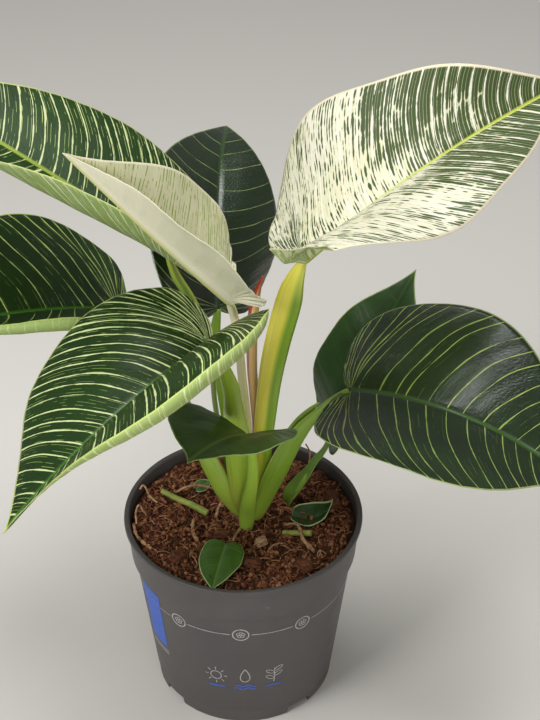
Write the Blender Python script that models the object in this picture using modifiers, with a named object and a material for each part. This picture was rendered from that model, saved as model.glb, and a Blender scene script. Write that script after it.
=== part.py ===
"""A variegated philodendron in a round nursery pot.

The pot stands on z = 0 with its axis on the Z axis, and the front of the plant faces -Y.
Driving dimensions are in millimetres and degrees. MM turns them into Blender's metres.
"""

import math
from dataclasses import dataclass

import bmesh
import bpy
import numpy as np
from mathutils import Matrix

MM = 0.001
GAP = 0.3  # clearance between pieces that touch
WELD = 0.02  # merge distance of collapsed edges

# Pot
POT_HEIGHT = 104.0
RIM_RADIUS = 60.0
LIP_DEPTH = 2.4
COLLAR_TOP_RADIUS = 58.4
COLLAR_BOTTOM = 83.0
COLLAR_BOTTOM_RADIUS = 57.0
WALL_TOP_RADIUS = 55.4
FOOT_RADIUS = 45.6
POT_WALL = 1.4
CHANNEL_OUTER = 42.0
CHANNEL_INNER = 31.0
CHANNEL_HEIGHT = 6.0
CHANNEL_SLOPE = 2.0
NOTCH_ANGLES = (-52.0, 38.0, 128.0, 218.0)
NOTCH_WIDTH = 15.0
NOTCH_HEIGHT = 4.5
NOTCH_REACH = 10.0
DRAIN_HOLES = 8
DRAIN_RADIUS = 3.0
DRAIN_SIDES = 12
DRAIN_CUT = 10.0
POT_STEPS = 48

# Soil
SOIL_MIDDLE = 94.0  # its level round the plant's crown
SOIL_TOP = 99.0
SOIL_DIP = 1.5
SOIL_DISH = (20.0, 46.0)  # the radii between which it rises
SOIL_SHOULDER = 50.0

# Stem with its main roots
CROWN = (2.0, 9.0)
STEM_RADIUS = 6.0
STEM_TOP = 112.0
STEM_FOOT = 66.0
ROOTS = 5
ROOT_RADIUS = 1.6
ROOT_REACH = 26.0
ROOT_DROP = 40.0

# Leaves
BLADE_THICKNESS = 1.0
BLADE_STEPS_ALONG = 16
BLADE_STEPS_ACROSS = 3
VEIN_SLANT = 0.55
VEIN_BOW = 0.16
MIDRIB_START_SOFTNESS = 0.03
RIB_SNAP = 0.7  # side veins that leave the midrib nearer to the base than this start at the base
PETIOLE_SIDES = 12
PETIOLE_FLATNESS = 0.45
JOINT_WIDTH = 3.2  # a petiole's width where it meets its blade
RINGS_PER_SPAN = 2

# Colours, sRGB
GREEN_DARK = "#1D3A17"
GREEN_LEAF = "#2E5220"
GREEN_BRIGHT = "#8FB02B"
GREEN_STALK = "#6C9A25"
CREAM = "#DCDCA8"
YELLOW_GREEN = "#C9CB3E"
PEACH = "#D98A4E"
POT_GREY = "#4A4747"
SOIL_BROWN = "#5B3423"
BARK_BROWN = "#6E4129"
TWIG_TAN = "#B98A63"


@dataclass(frozen=True)
class Blade:
    """Driving dimensions of one heart-shaped leaf blade, in millimetres and degrees.

    Left and right are as seen when looking from the base to the tip. Angles with two values go
    from the base to the tip. A fold lifts a half out of the leaf's plane, and a curl is what its
    cross-section turns by from the midrib to the margin.
    """

    base: tuple[float, float, float]
    length: float
    half_width: float
    heading: float
    sweep: float
    rise: tuple[float, float]
    roll: tuple[float, float]
    fold_left: tuple[float, float]
    fold_right: tuple[float, float]
    curl: tuple[float, float]
    lobe: float
    lobe_droop: tuple[float, float]
    widest: float
    tip: float
    wave: float
    wave_phase: float
    waves: float = 2.0


@dataclass(frozen=True)
class Petiole:
    """A leaf stalk: stations of x, y, z and width, and the way its flat inner side faces."""

    stations: tuple[tuple[float, float, float, float], ...]
    facing: tuple[float, float, float]
    depth: float
    colour: str


BLADES = {
    "right_high": Blade(
        base=(29, -7, 259), length=150, half_width=57, heading=22, sweep=9, rise=(34, 11), roll=(-26, 11),
        fold_left=(14, 56), fold_right=(34, 7), curl=(16, -55), lobe=10, lobe_droop=(0, 0),
        widest=0.22, tip=0.18, wave=-3.8, wave_phase=69,
    ),
    "left_high": Blade(
        base=(-35, 22, 246), length=160, half_width=51, heading=167, sweep=-11, rise=(32, 20), roll=(0, -9),
        fold_left=(10, -7), fold_right=(18, 17), curl=(71, -15), lobe=22, lobe_droop=(0, 0),
        widest=0.24, tip=0.24, wave=-1.1, wave_phase=-46,
    ),
    "new": Blade(
        base=(-5, -21, 246), length=103, half_width=35, heading=186, sweep=1, rise=(47, 51), roll=(3, 1),
        fold_left=(55, 58), fold_right=(3, 91), curl=(-39, 25), lobe=7, lobe_droop=(0, 0),
        widest=0.22, tip=0.12, wave=-1.4, wave_phase=34,
    ),
    "back": Blade(
        base=(-12, 42, 199), length=116, half_width=38, heading=92, sweep=-7, rise=(64, -10), roll=(32, 19),
        fold_left=(18, 3), fold_right=(-3, 20), curl=(-22, -34), lobe=5, lobe_droop=(0, 1),
        widest=0.34, tip=0.15, wave=-1.9, wave_phase=-69,
    ),
    "left_low": Blade(
        base=(-62, 48, 194), length=122, half_width=55, heading=202, sweep=3, rise=(17, -8), roll=(1, -5),
        fold_left=(21, 30), fold_right=(11, 40), curl=(-6, 17), lobe=9, lobe_droop=(0, 0),
        widest=0.33, tip=0.23, wave=-1.0, wave_phase=-29,
    ),
    "front": Blade(
        base=(-14, -27, 226), length=129, half_width=57, heading=231, sweep=-9, rise=(1, -32), roll=(22, 29),
        fold_left=(37, 24), fold_right=(43, 13), curl=(-56, -22), lobe=13, lobe_droop=(6, -26),
        widest=0.33, tip=0.17, wave=-0.6, wave_phase=29,
    ),
    "small": Blade(
        base=(2, -32, 178), length=51, half_width=31, heading=238, sweep=1, rise=(33, 5), roll=(5, 3),
        fold_left=(20, 3), fold_right=(17, 5), curl=(-5, -1), lobe=7, lobe_droop=(-19, 21),
        widest=0.30, tip=0.20, wave=-0.4, wave_phase=-23,
    ),
    "right_low": Blade(
        base=(52, 0, 180), length=129, half_width=54, heading=-22, sweep=9, rise=(11, -46), roll=(14, 22),
        fold_left=(7, 23), fold_right=(5, 10), curl=(3, 26), lobe=8, lobe_droop=(16, -25),
        widest=0.32, tip=0.28, wave=-0.8, wave_phase=-46,
    ),
    "back_low": Blade(
        base=(46, 22, 141), length=90, half_width=31, heading=43, sweep=13, rise=(59, 29), roll=(-30, 10),
        fold_left=(7, 11), fold_right=(15, 8), curl=(-4, -11), lobe=11, lobe_droop=(0, 0),
        widest=0.26, tip=0.21, wave=1.4, wave_phase=-74,
    ),
}

BLADE_COLOURS = {
    "right_high": CREAM, "left_high": GREEN_DARK, "new": CREAM, "back": GREEN_DARK, "left_low": GREEN_DARK,
    "front": GREEN_DARK, "small": GREEN_LEAF, "right_low": GREEN_DARK, "back_low": GREEN_LEAF,
}

# Outer petioles come first: each later one is carved to clasp those before it.
PETIOLES = {
    "small": Petiole(
        ((1, -1, 88, 5), (2, -4, 105, 8.5), (3, -11, 121, 7.4), (5, -19, 140, 5.8), (5, -27, 162, 4.3)),
        (0, 1, 0.3), 0.6, GREEN_BRIGHT),
    "right_low": Petiole(
        ((7, 5, 95, 6), (9, 4, 104, 10), (13, 3, 118, 13), (18, 2, 133, 14.8), (23, 2, 145, 13.7),
         (30, 1, 158, 10.7), (38, 0, 169, 6.2), (44, 0, 175, 5.3)),
        (-0.8, 0, 0.6), 0.5, GREEN_STALK),
    "left_low": Petiole(
        ((-2, 6, 96, 5), (-5, 6, 102, 9), (-9, 6, 112, 13.6), (-13, 9, 121, 15), (-17, 12, 129, 14.4),
         (-26, 22, 148, 9.8), (-39, 34, 173, 5.8), (-49, 43, 190, 4.3)),
        (0.8, 0, 0.6), 0.5, GREEN_STALK),
    "front": Petiole(
        ((0, 4, 101, 4), (-1, 0, 114, 10), (0, -4, 130, 14.8), (-1, -7, 146, 14.6), (-3, -11, 167, 11.4),
         (-4, -16, 186, 8.5), (-5, -18, 196, 7.9), (-9, -23, 213, 5.5)),
        (0, 1, 0.2), 0.8, GREEN_BRIGHT),
    "right_high": Petiole(
        ((9, 11, 100, 5), (8, 8, 116, 10), (9, 6, 135, 11.9), (10, 4, 152, 12.2), (13, 1, 185, 13.3),
         (17, -1, 210, 14), (22, -4, 234, 13.7), (25, -6, 247, 9)),
        (-0.7, -0.7, 0), 0.7, YELLOW_GREEN),
    "new": Petiole(
        ((2, 10, 105, 4), (2, 10, 116, 6), (2, 6, 151, 6), (0, -2, 187, 5.7), (-1, -8, 208, 5.6),
         (-2, -13, 224, 5.6), (-4, -18, 238, 5.9)),
        (-0.5, -0.5, 0.5), 0.8, CREAM),
    "left_high": Petiole(
        ((-2, 13, 96, 4), (-7, 14, 119, 5), (-10, 14, 139, 5), (-13, 14, 163, 5), (-14, 14, 193, 5.8),
         (-18, 15, 209, 6.2), (-23, 16, 221, 6.6), (-29, 18, 231, 7), (-32, 20, 237, 5.6)),
        (0.7, 0, 0.7), 0.8, YELLOW_GREEN),
    "back": Petiole(
        ((1, 15, 96, 4), (-3, 21, 113, 6), (-8, 29, 139, 6), (-12, 36, 166, 6), (-14, 39, 181, 6.3)),
        (0.3, -1, 0), 0.8, GREEN_STALK),
    "back_low": Petiole(
        ((21, 16, 86, 5.2), (22, 16, 99, 9.2), (27, 17, 107, 9.2), (32, 18, 114, 6.6), (36, 19, 121, 5.1),
         (41, 20, 128, 4)),
        (-0.7, -0.3, 0.6), 0.55, GREEN_STALK),
}

SPEAR = Petiole(
    ((4, 14, 103, 3), (5, 15, 119, 5), (6, 14, 143, 6.9), (5, 13, 165, 8.8), (4, 12, 183, 9.6),
     (4, 11, 202, 10), (5, 10, 218, 9.4), (7, 9, 229, 6), (10, 8, 239, 1.4)),
    (-1, 0, 0), 0.7, PEACH)

# Free tongues at the top of two sheaths
TONGUES = {
    "sheath_right": Petiole(
        ((22, 1, 153, 3), (28, 1, 161, 4.4), (33, 0, 168, 3), (37, -1, 173, 1)),
        (0, 1, 0), 0.3, GREEN_BRIGHT),
    "sheath_back": Petiole(
        ((27, 12, 106, 2.6), (30, 13, 112, 2.8), (32, 14, 117, 1)),
        (0, 1, 0), 0.4, GREEN_BRIGHT),
}

# Things lying on the soil: a route of x, y and height above the soil, then radii at its two ends
LYING_HEIGHT = 0.4
SOIL_TUBES = {
    "stub_left": (((-42, 17, 3.4), (-34.5, 13.5, 3), (-26, 10.5, 2.6), (-18.5, 6.5, 2.2)),
                  1.3, 1.9, GREEN_STALK),
    "stub_right": (((20, -8, 1.6), (27, -10, 1.8), (34, -12, 2)), 1.3, 1.6, GREEN_BRIGHT),
    "small_leaf_stalk": (((-1.5, -4, 1), (-3.5, -9, 1.8), (-5, -14, 2.2)), 0.6, 0.6, TWIG_TAN),
    "twig_left": (((-34, 20.5, 1), (-30, 21, 4), (-23, 22, 5.4), (-16, 23.5, 2.5)), 0.6, 0.7, TWIG_TAN),
    "twig_front_left": (((-25, 0, 2.6), (-25.5, -6.5, 3), (-24.5, -11.5, 2.2), (-22.5, -15, 1)),
                        0.8, 0.9, TWIG_TAN),
    "twig_by_stalk": (((-11, 14, 4), (-13, 9.5, 2.6), (-14, 5, 1)), 0.7, 0.8, TWIG_TAN),
    "twig_right": (((21, -1.5, 1.2), (27, -8, 5.6), (30, -17.5, 2.8), (35, -26, 1.2)), 0.7, 1.0, TWIG_TAN),
    "twig_far_left": (((-54.5, -8.5, 3), (-53, -15.5, 2.2), (-49, -20.5, 1.4), (-45, -24.5, 1)),
                      0.7, 0.9, TWIG_TAN),
    "root_curl": (((-53.5, -6, 1), (-54, -1, 4.4), (-52.5, 2.5, 6), (-50.5, 1.5, 3), (-49, 1, 0.6)),
                  0.5, 0.5, TWIG_TAN),
    "root_curl_high": (((-53, 16, 5), (-51.5, 17.5, 6.5), (-50, 17, 5), (-48, 14, 2.4), (-44, 10.5, 1)),
                       0.5, 0.5, TWIG_TAN),
    "root_back": (((33, 37, 0.6), (34, 40, 5), (34, 42, 9), (32, 43, 13)), 0.5, 0.4, TWIG_TAN),
}

SMALL_LEAF = Blade(
    base=(-8.5, -18, 98), length=36, half_width=10.8, heading=261, sweep=0, rise=(9, 1), roll=(-4, 4),
    fold_left=(8, 8), fold_right=(8, 8), curl=(-10, -10), lobe=1.5, lobe_droop=(0, 0),
    widest=0.36, tip=0.0, wave=0.0, wave_phase=0,
)
CURLED_LEAF = Blade(
    base=(25, 3, 98.5), length=27, half_width=8, heading=-8, sweep=10, rise=(-28, 90), roll=(0, 0),
    fold_left=(35, 20), fold_right=(5, 5), curl=(20, 15), lobe=1, lobe_droop=(0, 0),
    widest=0.40, tip=0.10, wave=0.0, wave_phase=0,
)
LEAF_SCRAP = Blade(
    base=(-24.5, 23.5, 99), length=9, half_width=3.5, heading=30, sweep=0, rise=(10, 0), roll=(20, 20),
    fold_left=(10, 10), fold_right=(10, 10), curl=(-20, -20), lobe=1, lobe_droop=(0, 0),
    widest=0.40, tip=0.10, wave=0.0, wave_phase=0,
)
SMALL_BLADE_STEPS = (10, 2)

# Bark pieces: x, y, length, width, height and turn
BARK = (
    (45, 12, 14, 8, 5, 100), (-31, -30, 12, 7, 5, 60), (5, -33, 11, 7, 4.5, -15), (-14, 38, 14, 8, 5, 100),
    (30, -37, 11, 6, 4.5, 130), (-11, -9, 9, 6, 4, 15), (29, 30, 12, 7, 5, 150),
)
BEIGE_CHIP = (9, -15, 7, 5, 5, 40)
BARK_TAPER = 0.72
BARK_LIFT = 0.9


def linear_colour(code: str) -> tuple[float, float, float, float]:
    """An sRGB hex code as the linear colour that Blender's shaders take."""
    parts = [int(code[i:i + 2], 16) / 255 for i in (1, 3, 5)]
    linear = [c / 12.92 if c <= 0.04045 else ((c + 0.055) / 1.055) ** 2.4 for c in parts]
    return (*linear, 1.0)


def finish(name: str, colour: str, roughness: float) -> bpy.types.Material:
    """A plain material for one sub-part."""
    material = bpy.data.materials.new(name)
    material.use_nodes = True
    shader = material.node_tree.nodes["Principled BSDF"]
    shader.inputs["Base Color"].default_value = linear_colour(colour)
    shader.inputs["Roughness"].default_value = roughness
    shader.inputs["Metallic"].default_value = 0.0
    return material


def add_object(name: str, mesh: bpy.types.Mesh, collection, colour: str, roughness=0.5) -> bpy.types.Object:
    """Put a mesh into the scene as a named sub-part with its own material."""
    mesh.name = name
    obj = bpy.data.objects.new(name, mesh)
    collection.objects.link(obj)
    mesh.materials.clear()
    mesh.materials.append(finish(name, colour, roughness))
    mesh.shade_smooth()
    mesh.set_sharp_from_angle(angle=math.radians(40))
    return obj


def mesh_from(bm: bmesh.types.BMesh, name: str) -> bpy.types.Mesh:
    """Close a bmesh into a mesh, with its faces pointing out."""
    bmesh.ops.remove_doubles(bm, verts=bm.verts, dist=WELD * MM)
    bmesh.ops.dissolve_degenerate(bm, edges=bm.edges, dist=WELD * MM)
    bmesh.ops.recalc_face_normals(bm, faces=bm.faces)
    if bm.calc_volume(signed=True) < 0:
        bmesh.ops.reverse_faces(bm, faces=bm.faces)
    mesh = bpy.data.meshes.new(name)
    bm.to_mesh(mesh)
    bm.free()
    return mesh


def cubic(points, t):
    """Points on one cubic Bezier arc."""
    a, b, c, d = (np.array(p, float) for p in points)
    t = t[:, None]
    return (1 - t) ** 3 * a + 3 * t * (1 - t) ** 2 * b + 3 * t * t * (1 - t) * c + t ** 3 * d


def half_outline(blade: Blade, count=120):
    """Half of the flat outline in millimetres, from the notch at the base round the lobe to the tip."""
    lobe = blade.lobe / blade.length
    wide = blade.widest
    tip = blade.tip
    t = np.linspace(0, 1, count)
    inner = cubic([(0, 0), (-0.55 * lobe, 0.02), (-lobe, 0.16), (-lobe, 0.42)], t)
    outer = cubic([(-lobe, 0.42), (-lobe, 0.80), (0.45 * wide - 0.55 * lobe, 1), (wide, 1)], t)
    tail = cubic([(wide, 1), (0.5 + 0.5 * wide, 1), (1 - tip, 0.16), (1, 0)], t)
    return np.vstack([inner, outer[1:], tail[1:]]) * (blade.length, blade.half_width)


def blade_points(blade: Blade, u, v):
    """Places in space of points of a leaf blade.

    Args:
        blade: the leaf's driving dimensions.
        u: 0 to 1 along the margin, from the notch at the base to the tip.
        v: -1 to 1 across the blade, from the right margin over the midrib to the left margin. Lines of
            constant u follow the side veins.
    """
    size = blade.length
    outline = half_outline(blade)
    run = np.concatenate([[0], np.cumsum(np.hypot(*np.diff(outline, axis=0).T))])
    run /= run[-1]
    edge_x = np.interp(u, run, outline[:, 0])
    edge_y = np.interp(u, run, outline[:, 1])

    def rib_start(x, y):
        raw = (x - VEIN_SLANT * y) / size
        return size * np.logaddexp(0, raw / MIDRIB_START_SOFTNESS) * MIDRIB_START_SOFTNESS

    first = rib_start(0.0, 0.0)
    last = rib_start(size, 0.0)
    rib_x = np.clip((rib_start(edge_x, edge_y) - first) * size / (last - first), 0, size)
    rib_x = np.where(rib_x < RIB_SNAP, 0, rib_x)
    bend_x = (rib_x + edge_x) / 2 - VEIN_BOW * edge_y
    bend_y = edge_y / 2 + VEIN_BOW * (edge_x - rib_x)
    w = np.abs(v)
    flat_x = (1 - w) ** 2 * rib_x + 2 * w * (1 - w) * bend_x + w * w * edge_x
    flat_y = 2 * w * (1 - w) * bend_y + w * w * edge_y

    along = np.clip(flat_x / size, 0, 1)
    left = v >= 0
    fold = np.where(left, blade.fold_left[0] + (blade.fold_left[1] - blade.fold_left[0]) * along,
                    blade.fold_right[0] + (blade.fold_right[1] - blade.fold_right[0]) * along)
    fold = np.radians(fold)
    curl = np.radians(np.where(left, blade.curl[0], blade.curl[1]))
    reach = flat_y / blade.half_width
    radius = blade.half_width / curl
    across = radius * (np.sin(fold + curl * reach) - np.sin(fold))
    height = radius * (np.cos(fold) - np.cos(fold + curl * reach))
    phase = np.radians(blade.wave_phase) + np.where(left, 0, 0.7 * np.pi)
    height = height + blade.wave * reach ** 2 * np.sin(2 * np.pi * blade.waves * flat_x / size + phase)

    steps = np.linspace(0, 1, 201)
    heading = np.radians(blade.heading + blade.sweep * steps)
    rise = np.radians(blade.rise[0] + (blade.rise[1] - blade.rise[0]) * steps)
    tangent = np.stack([np.cos(rise) * np.cos(heading), np.cos(rise) * np.sin(heading), np.sin(rise)], -1)
    middle = (tangent[1:] + tangent[:-1]) / 2 * size / 200
    rib = np.vstack([[0, 0, 0], np.cumsum(middle, axis=0)]) + np.array(blade.base, float)

    def on_rib(table):
        return np.stack([np.interp(along, steps, table[:, i]) for i in range(3)], -1)

    forward = on_rib(tangent)
    forward /= np.linalg.norm(forward, axis=-1, keepdims=True)
    turn = np.radians(blade.heading + blade.sweep * along)
    level = np.stack([-np.sin(turn), np.cos(turn), np.zeros_like(turn)], -1)
    upright = np.cross(forward, level)
    roll = np.radians(blade.roll[0] + (blade.roll[1] - blade.roll[0]) * along)[..., None]
    side = level * np.cos(roll) + upright * np.sin(roll)
    normal = upright * np.cos(roll) - level * np.sin(roll)

    behind = np.minimum(flat_x, 0)
    droop = np.radians(np.where(left, blade.lobe_droop[0], blade.lobe_droop[1])) + 1e-6
    bend = blade.lobe / droop
    back = bend * np.sin(behind / bend)
    fall = -bend * (1 - np.cos(behind / bend))
    sideways = np.where(left, 1, -1) * across
    return (on_rib(rib) + forward * back[..., None] + normal * (height + fall)[..., None]
            + side * sideways[..., None])


def add_blade(name, blade: Blade, collection, colour, steps=(BLADE_STEPS_ALONG, BLADE_STEPS_ACROSS)):
    """A leaf blade: a flat grid bent along its side veins, then thickened."""
    bm = bmesh.new()
    bmesh.ops.create_grid(bm, x_segments=steps[0], y_segments=2 * steps[1], size=0.5)
    flat = np.array([vert.co[:] for vert in bm.verts])
    placed = blade_points(blade, np.clip(flat[:, 0] + 0.5, 0, 1), np.clip(2 * flat[:, 1], -1, 1))
    for vert, place in zip(bm.verts, placed):
        vert.co = place * MM
    bmesh.ops.remove_doubles(bm, verts=bm.verts, dist=WELD / 10 * MM)
    mesh = bpy.data.meshes.new(name)
    bm.to_mesh(mesh)
    bm.free()
    obj = add_object(name, mesh, collection, colour, 0.35)
    shell = obj.modifiers.new("thickness", "SOLIDIFY")
    shell.thickness = BLADE_THICKNESS * MM
    shell.offset = 0.0
    return obj


def smooth_route(points, per_span: int) -> np.ndarray:
    """Rows of numbers read from a Catmull-Rom curve through the given rows."""
    rows = np.array(points, float)
    rows = np.vstack([2 * rows[0] - rows[1], rows, 2 * rows[-1] - rows[-2]])
    out = []
    for i in range(1, len(rows) - 2):
        a, b, c, d = rows[i - 1:i + 3]
        for t in np.arange(per_span) / per_span:
            out.append(0.5 * (2 * b + (c - a) * t + (2 * a - 5 * b + 4 * c - d) * t * t
                              + (3 * b - a - 3 * c + d) * t ** 3))
    out.append(rows[-2])
    return np.array(out)


def petiole_section(width: float, depth: float, side, up, grow=0.0) -> np.ndarray:
    """A stalk's cross-section as offsets from its centre: an ellipse, flatter on the inner side."""
    angles = np.arange(PETIOLE_SIDES) * 2 * np.pi / PETIOLE_SIDES
    out = np.sin(angles) * (width * depth / 2 + grow)
    out = np.where(out > 0, out * PETIOLE_FLATNESS + grow * (1 - PETIOLE_FLATNESS), out)
    return np.outer(np.cos(angles) * (width / 2 + grow), side) + np.outer(out, up)


def petiole_mesh(petiole: Petiole, name: str, grow=0.0) -> bpy.types.Mesh:
    """A stalk lofted through its stations: round outside, flatter on its inner side.

    Args:
        petiole: the stalk's driving dimensions.
        name: the mesh's name.
        grow: what the section is enlarged by all round, for a cutter.
    """
    rows = smooth_route(petiole.stations, RINGS_PER_SPAN)
    centres = rows[:, :3]
    tangents = np.gradient(centres, axis=0)
    tangents /= np.linalg.norm(tangents, axis=1, keepdims=True)
    sides = np.cross(np.array(petiole.facing, float), tangents)
    sides /= np.linalg.norm(sides, axis=1, keepdims=True)
    ups = np.cross(tangents, sides)
    bm = bmesh.new()
    rings = []
    for centre, width, side, up in zip(centres, rows[:, 3], sides, ups):
        section = petiole_section(width, petiole.depth, side, up, grow)
        rings.append([bm.verts.new((centre + offset) * MM) for offset in section])
    for low, high in zip(rings, rings[1:]):
        for i in range(PETIOLE_SIDES):
            j = (i + 1) % PETIOLE_SIDES
            bm.faces.new((low[i], low[j], high[j], high[i]))
    bm.faces.new(rings[0][::-1])
    bm.faces.new(rings[-1])
    return mesh_from(bm, name)


def fitted_petiole(petiole: Petiole, blade: Blade) -> Petiole:
    """The stalk with one more station, so that its top ends just under the base of its blade."""
    last = np.array(petiole.stations[-1][:3], float)
    base = np.array(blade.base, float)
    direction = (base - last) / np.linalg.norm(base - last)
    side = np.cross(np.array(petiole.facing, float), direction)
    side /= np.linalg.norm(side)
    cap = petiole_section(JOINT_WIDTH, petiole.depth, side, np.cross(direction, side))
    cap = np.vstack([cap, np.zeros(3)])
    surface = blade_samples(blade)
    surface = surface[np.linalg.norm(surface - base, axis=1) < 4 * JOINT_WIDTH]
    for back in np.arange(0, 3 * JOINT_WIDTH, 0.05):
        top = base - direction * back
        nearest = np.min(np.linalg.norm(surface[None] - (top + cap)[:, None], axis=2))
        if nearest > BLADE_THICKNESS / 2 + GAP:
            break
    return Petiole((*petiole.stations, (*top, JOINT_WIDTH)), petiole.facing, petiole.depth, petiole.colour)


def blade_samples(blade: Blade, finer=8) -> np.ndarray:
    """Points all over the flat facets of a blade's grid."""
    margin = np.linspace(0, 1, BLADE_STEPS_ALONG + 1)
    across = np.linspace(-1, 1, 2 * BLADE_STEPS_ACROSS + 1)
    grid = blade_points(blade, *(g.ravel() for g in np.meshgrid(margin, across, indexing="ij")))
    grid = grid.reshape(len(margin), len(across), 3)
    for axis in (0, 1):
        count = grid.shape[axis]
        spots = np.linspace(0, count - 1, (count - 1) * finer + 1)
        low = np.minimum(spots.astype(int), count - 2)
        share = (spots - low).reshape([-1 if i == axis else 1 for i in range(3)])
        grid = np.take(grid, low, axis) * (1 - share) + np.take(grid, low + 1, axis) * share
    return grid.reshape(-1, 3)


def evaluated_mesh(obj: bpy.types.Object) -> bpy.types.Mesh:
    """The object's mesh with its modifiers worked out."""
    graph = bpy.context.evaluated_depsgraph_get()
    graph.update()
    return bpy.data.meshes.new_from_object(obj.evaluated_get(graph))


def keep_largest_island(mesh: bpy.types.Mesh) -> None:
    """Drop all but the largest connected body, and the slivers that a cut leaves."""
    bm = bmesh.new()
    bm.from_mesh(mesh)
    bmesh.ops.remove_doubles(bm, verts=bm.verts, dist=WELD * MM)
    bmesh.ops.dissolve_degenerate(bm, edges=bm.edges, dist=WELD * MM)
    left = set(bm.verts)
    islands = []
    while left:
        stack = [left.pop()]
        island = set(stack)
        while stack:
            for edge in stack.pop().link_edges:
                for vert in edge.verts:
                    if vert in left:
                        left.discard(vert)
                        island.add(vert)
                        stack.append(vert)
        islands.append(island)
    islands.sort(key=len)
    for island in islands[:-1]:
        bmesh.ops.delete(bm, geom=list(island), context="VERTS")
    bm.to_mesh(mesh)
    bm.free()


def boolean(obj: bpy.types.Object, others: list[bpy.types.Object], operation: str) -> None:
    """Cut or join an object with others, and keep the result as its mesh."""
    for other in others:
        step = obj.modifiers.new(operation.lower(), "BOOLEAN")
        step.operation = operation
        step.solver = "EXACT"
        step.object = other
    mesh = evaluated_mesh(obj)
    old = obj.data
    obj.modifiers.clear()
    obj.data = mesh
    mesh.name = old.name
    bpy.data.meshes.remove(old)
    keep_largest_island(mesh)


def add_cutter(name: str, mesh: bpy.types.Mesh, collection) -> bpy.types.Object:
    """A hidden wire object that only cuts others."""
    cutter = bpy.data.objects.new(name, mesh)
    collection.objects.link(cutter)
    cutter.hide_render = True
    cutter.display_type = "WIRE"
    return cutter


def tube_mesh(name: str, route, radii, resolution=2) -> bpy.types.Mesh:
    """A tube along a smooth route, made as a curve and turned into a mesh with welded caps."""
    rows = smooth_route(route, 3)
    curve = bpy.data.curves.new(name, "CURVE")
    curve.dimensions = "3D"
    curve.bevel_depth = MM
    curve.bevel_resolution = resolution
    curve.use_fill_caps = True
    spline = curve.splines.new("POLY")
    spline.points.add(len(rows) - 1)
    for i, (point, row) in enumerate(zip(spline.points, rows)):
        t = i / (len(rows) - 1)
        point.co = (*(row * MM), 1)
        point.radius = radii[0] + (radii[1] - radii[0]) * t
    guide = bpy.data.objects.new(name, curve)
    bpy.context.scene.collection.objects.link(guide)
    mesh = evaluated_mesh(guide)
    bpy.data.objects.remove(guide)
    bpy.data.curves.remove(curve)
    bm = bmesh.new()
    bm.from_mesh(mesh)
    bpy.data.meshes.remove(mesh)
    return mesh_from(bm, name)


def turned_mesh(name: str, profile) -> bpy.types.Mesh:
    """A profile of radius and height turned about the Z axis."""
    mesh = bpy.data.meshes.new(name)
    points = [(radius * MM, 0, height * MM) for radius, height in profile]
    mesh.from_pydata(points, [(i, i + 1) for i in range(len(points) - 1)], [])
    obj = bpy.data.objects.new(name, mesh)
    bpy.context.scene.collection.objects.link(obj)
    screw = obj.modifiers.new("turn", "SCREW")
    screw.axis = "Z"
    screw.steps = POT_STEPS
    screw.render_steps = POT_STEPS
    screw.use_merge_vertices = True
    screw.merge_threshold = 0.00001
    turned = evaluated_mesh(obj)
    bpy.data.objects.remove(obj)
    bpy.data.meshes.remove(mesh)
    bm = bmesh.new()
    bm.from_mesh(turned)
    bpy.data.meshes.remove(turned)
    return mesh_from(bm, name)


def inner_radius(height: float) -> float:
    """The radius of the pot's inner wall at a height."""
    if height >= COLLAR_BOTTOM:
        share = (height - COLLAR_BOTTOM) / (POT_HEIGHT - COLLAR_BOTTOM)
        return COLLAR_BOTTOM_RADIUS + (COLLAR_TOP_RADIUS - COLLAR_BOTTOM_RADIUS) * share - POT_WALL
    share = height / COLLAR_BOTTOM
    return FOOT_RADIUS + (WALL_TOP_RADIUS - FOOT_RADIUS) * share - POT_WALL


def soil_height(x: float, y: float) -> float:
    """The height of the dished soil at a place on it."""
    return float(np.interp(math.hypot(x, y), SOIL_DISH, (SOIL_MIDDLE, SOIL_TOP)))


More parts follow.
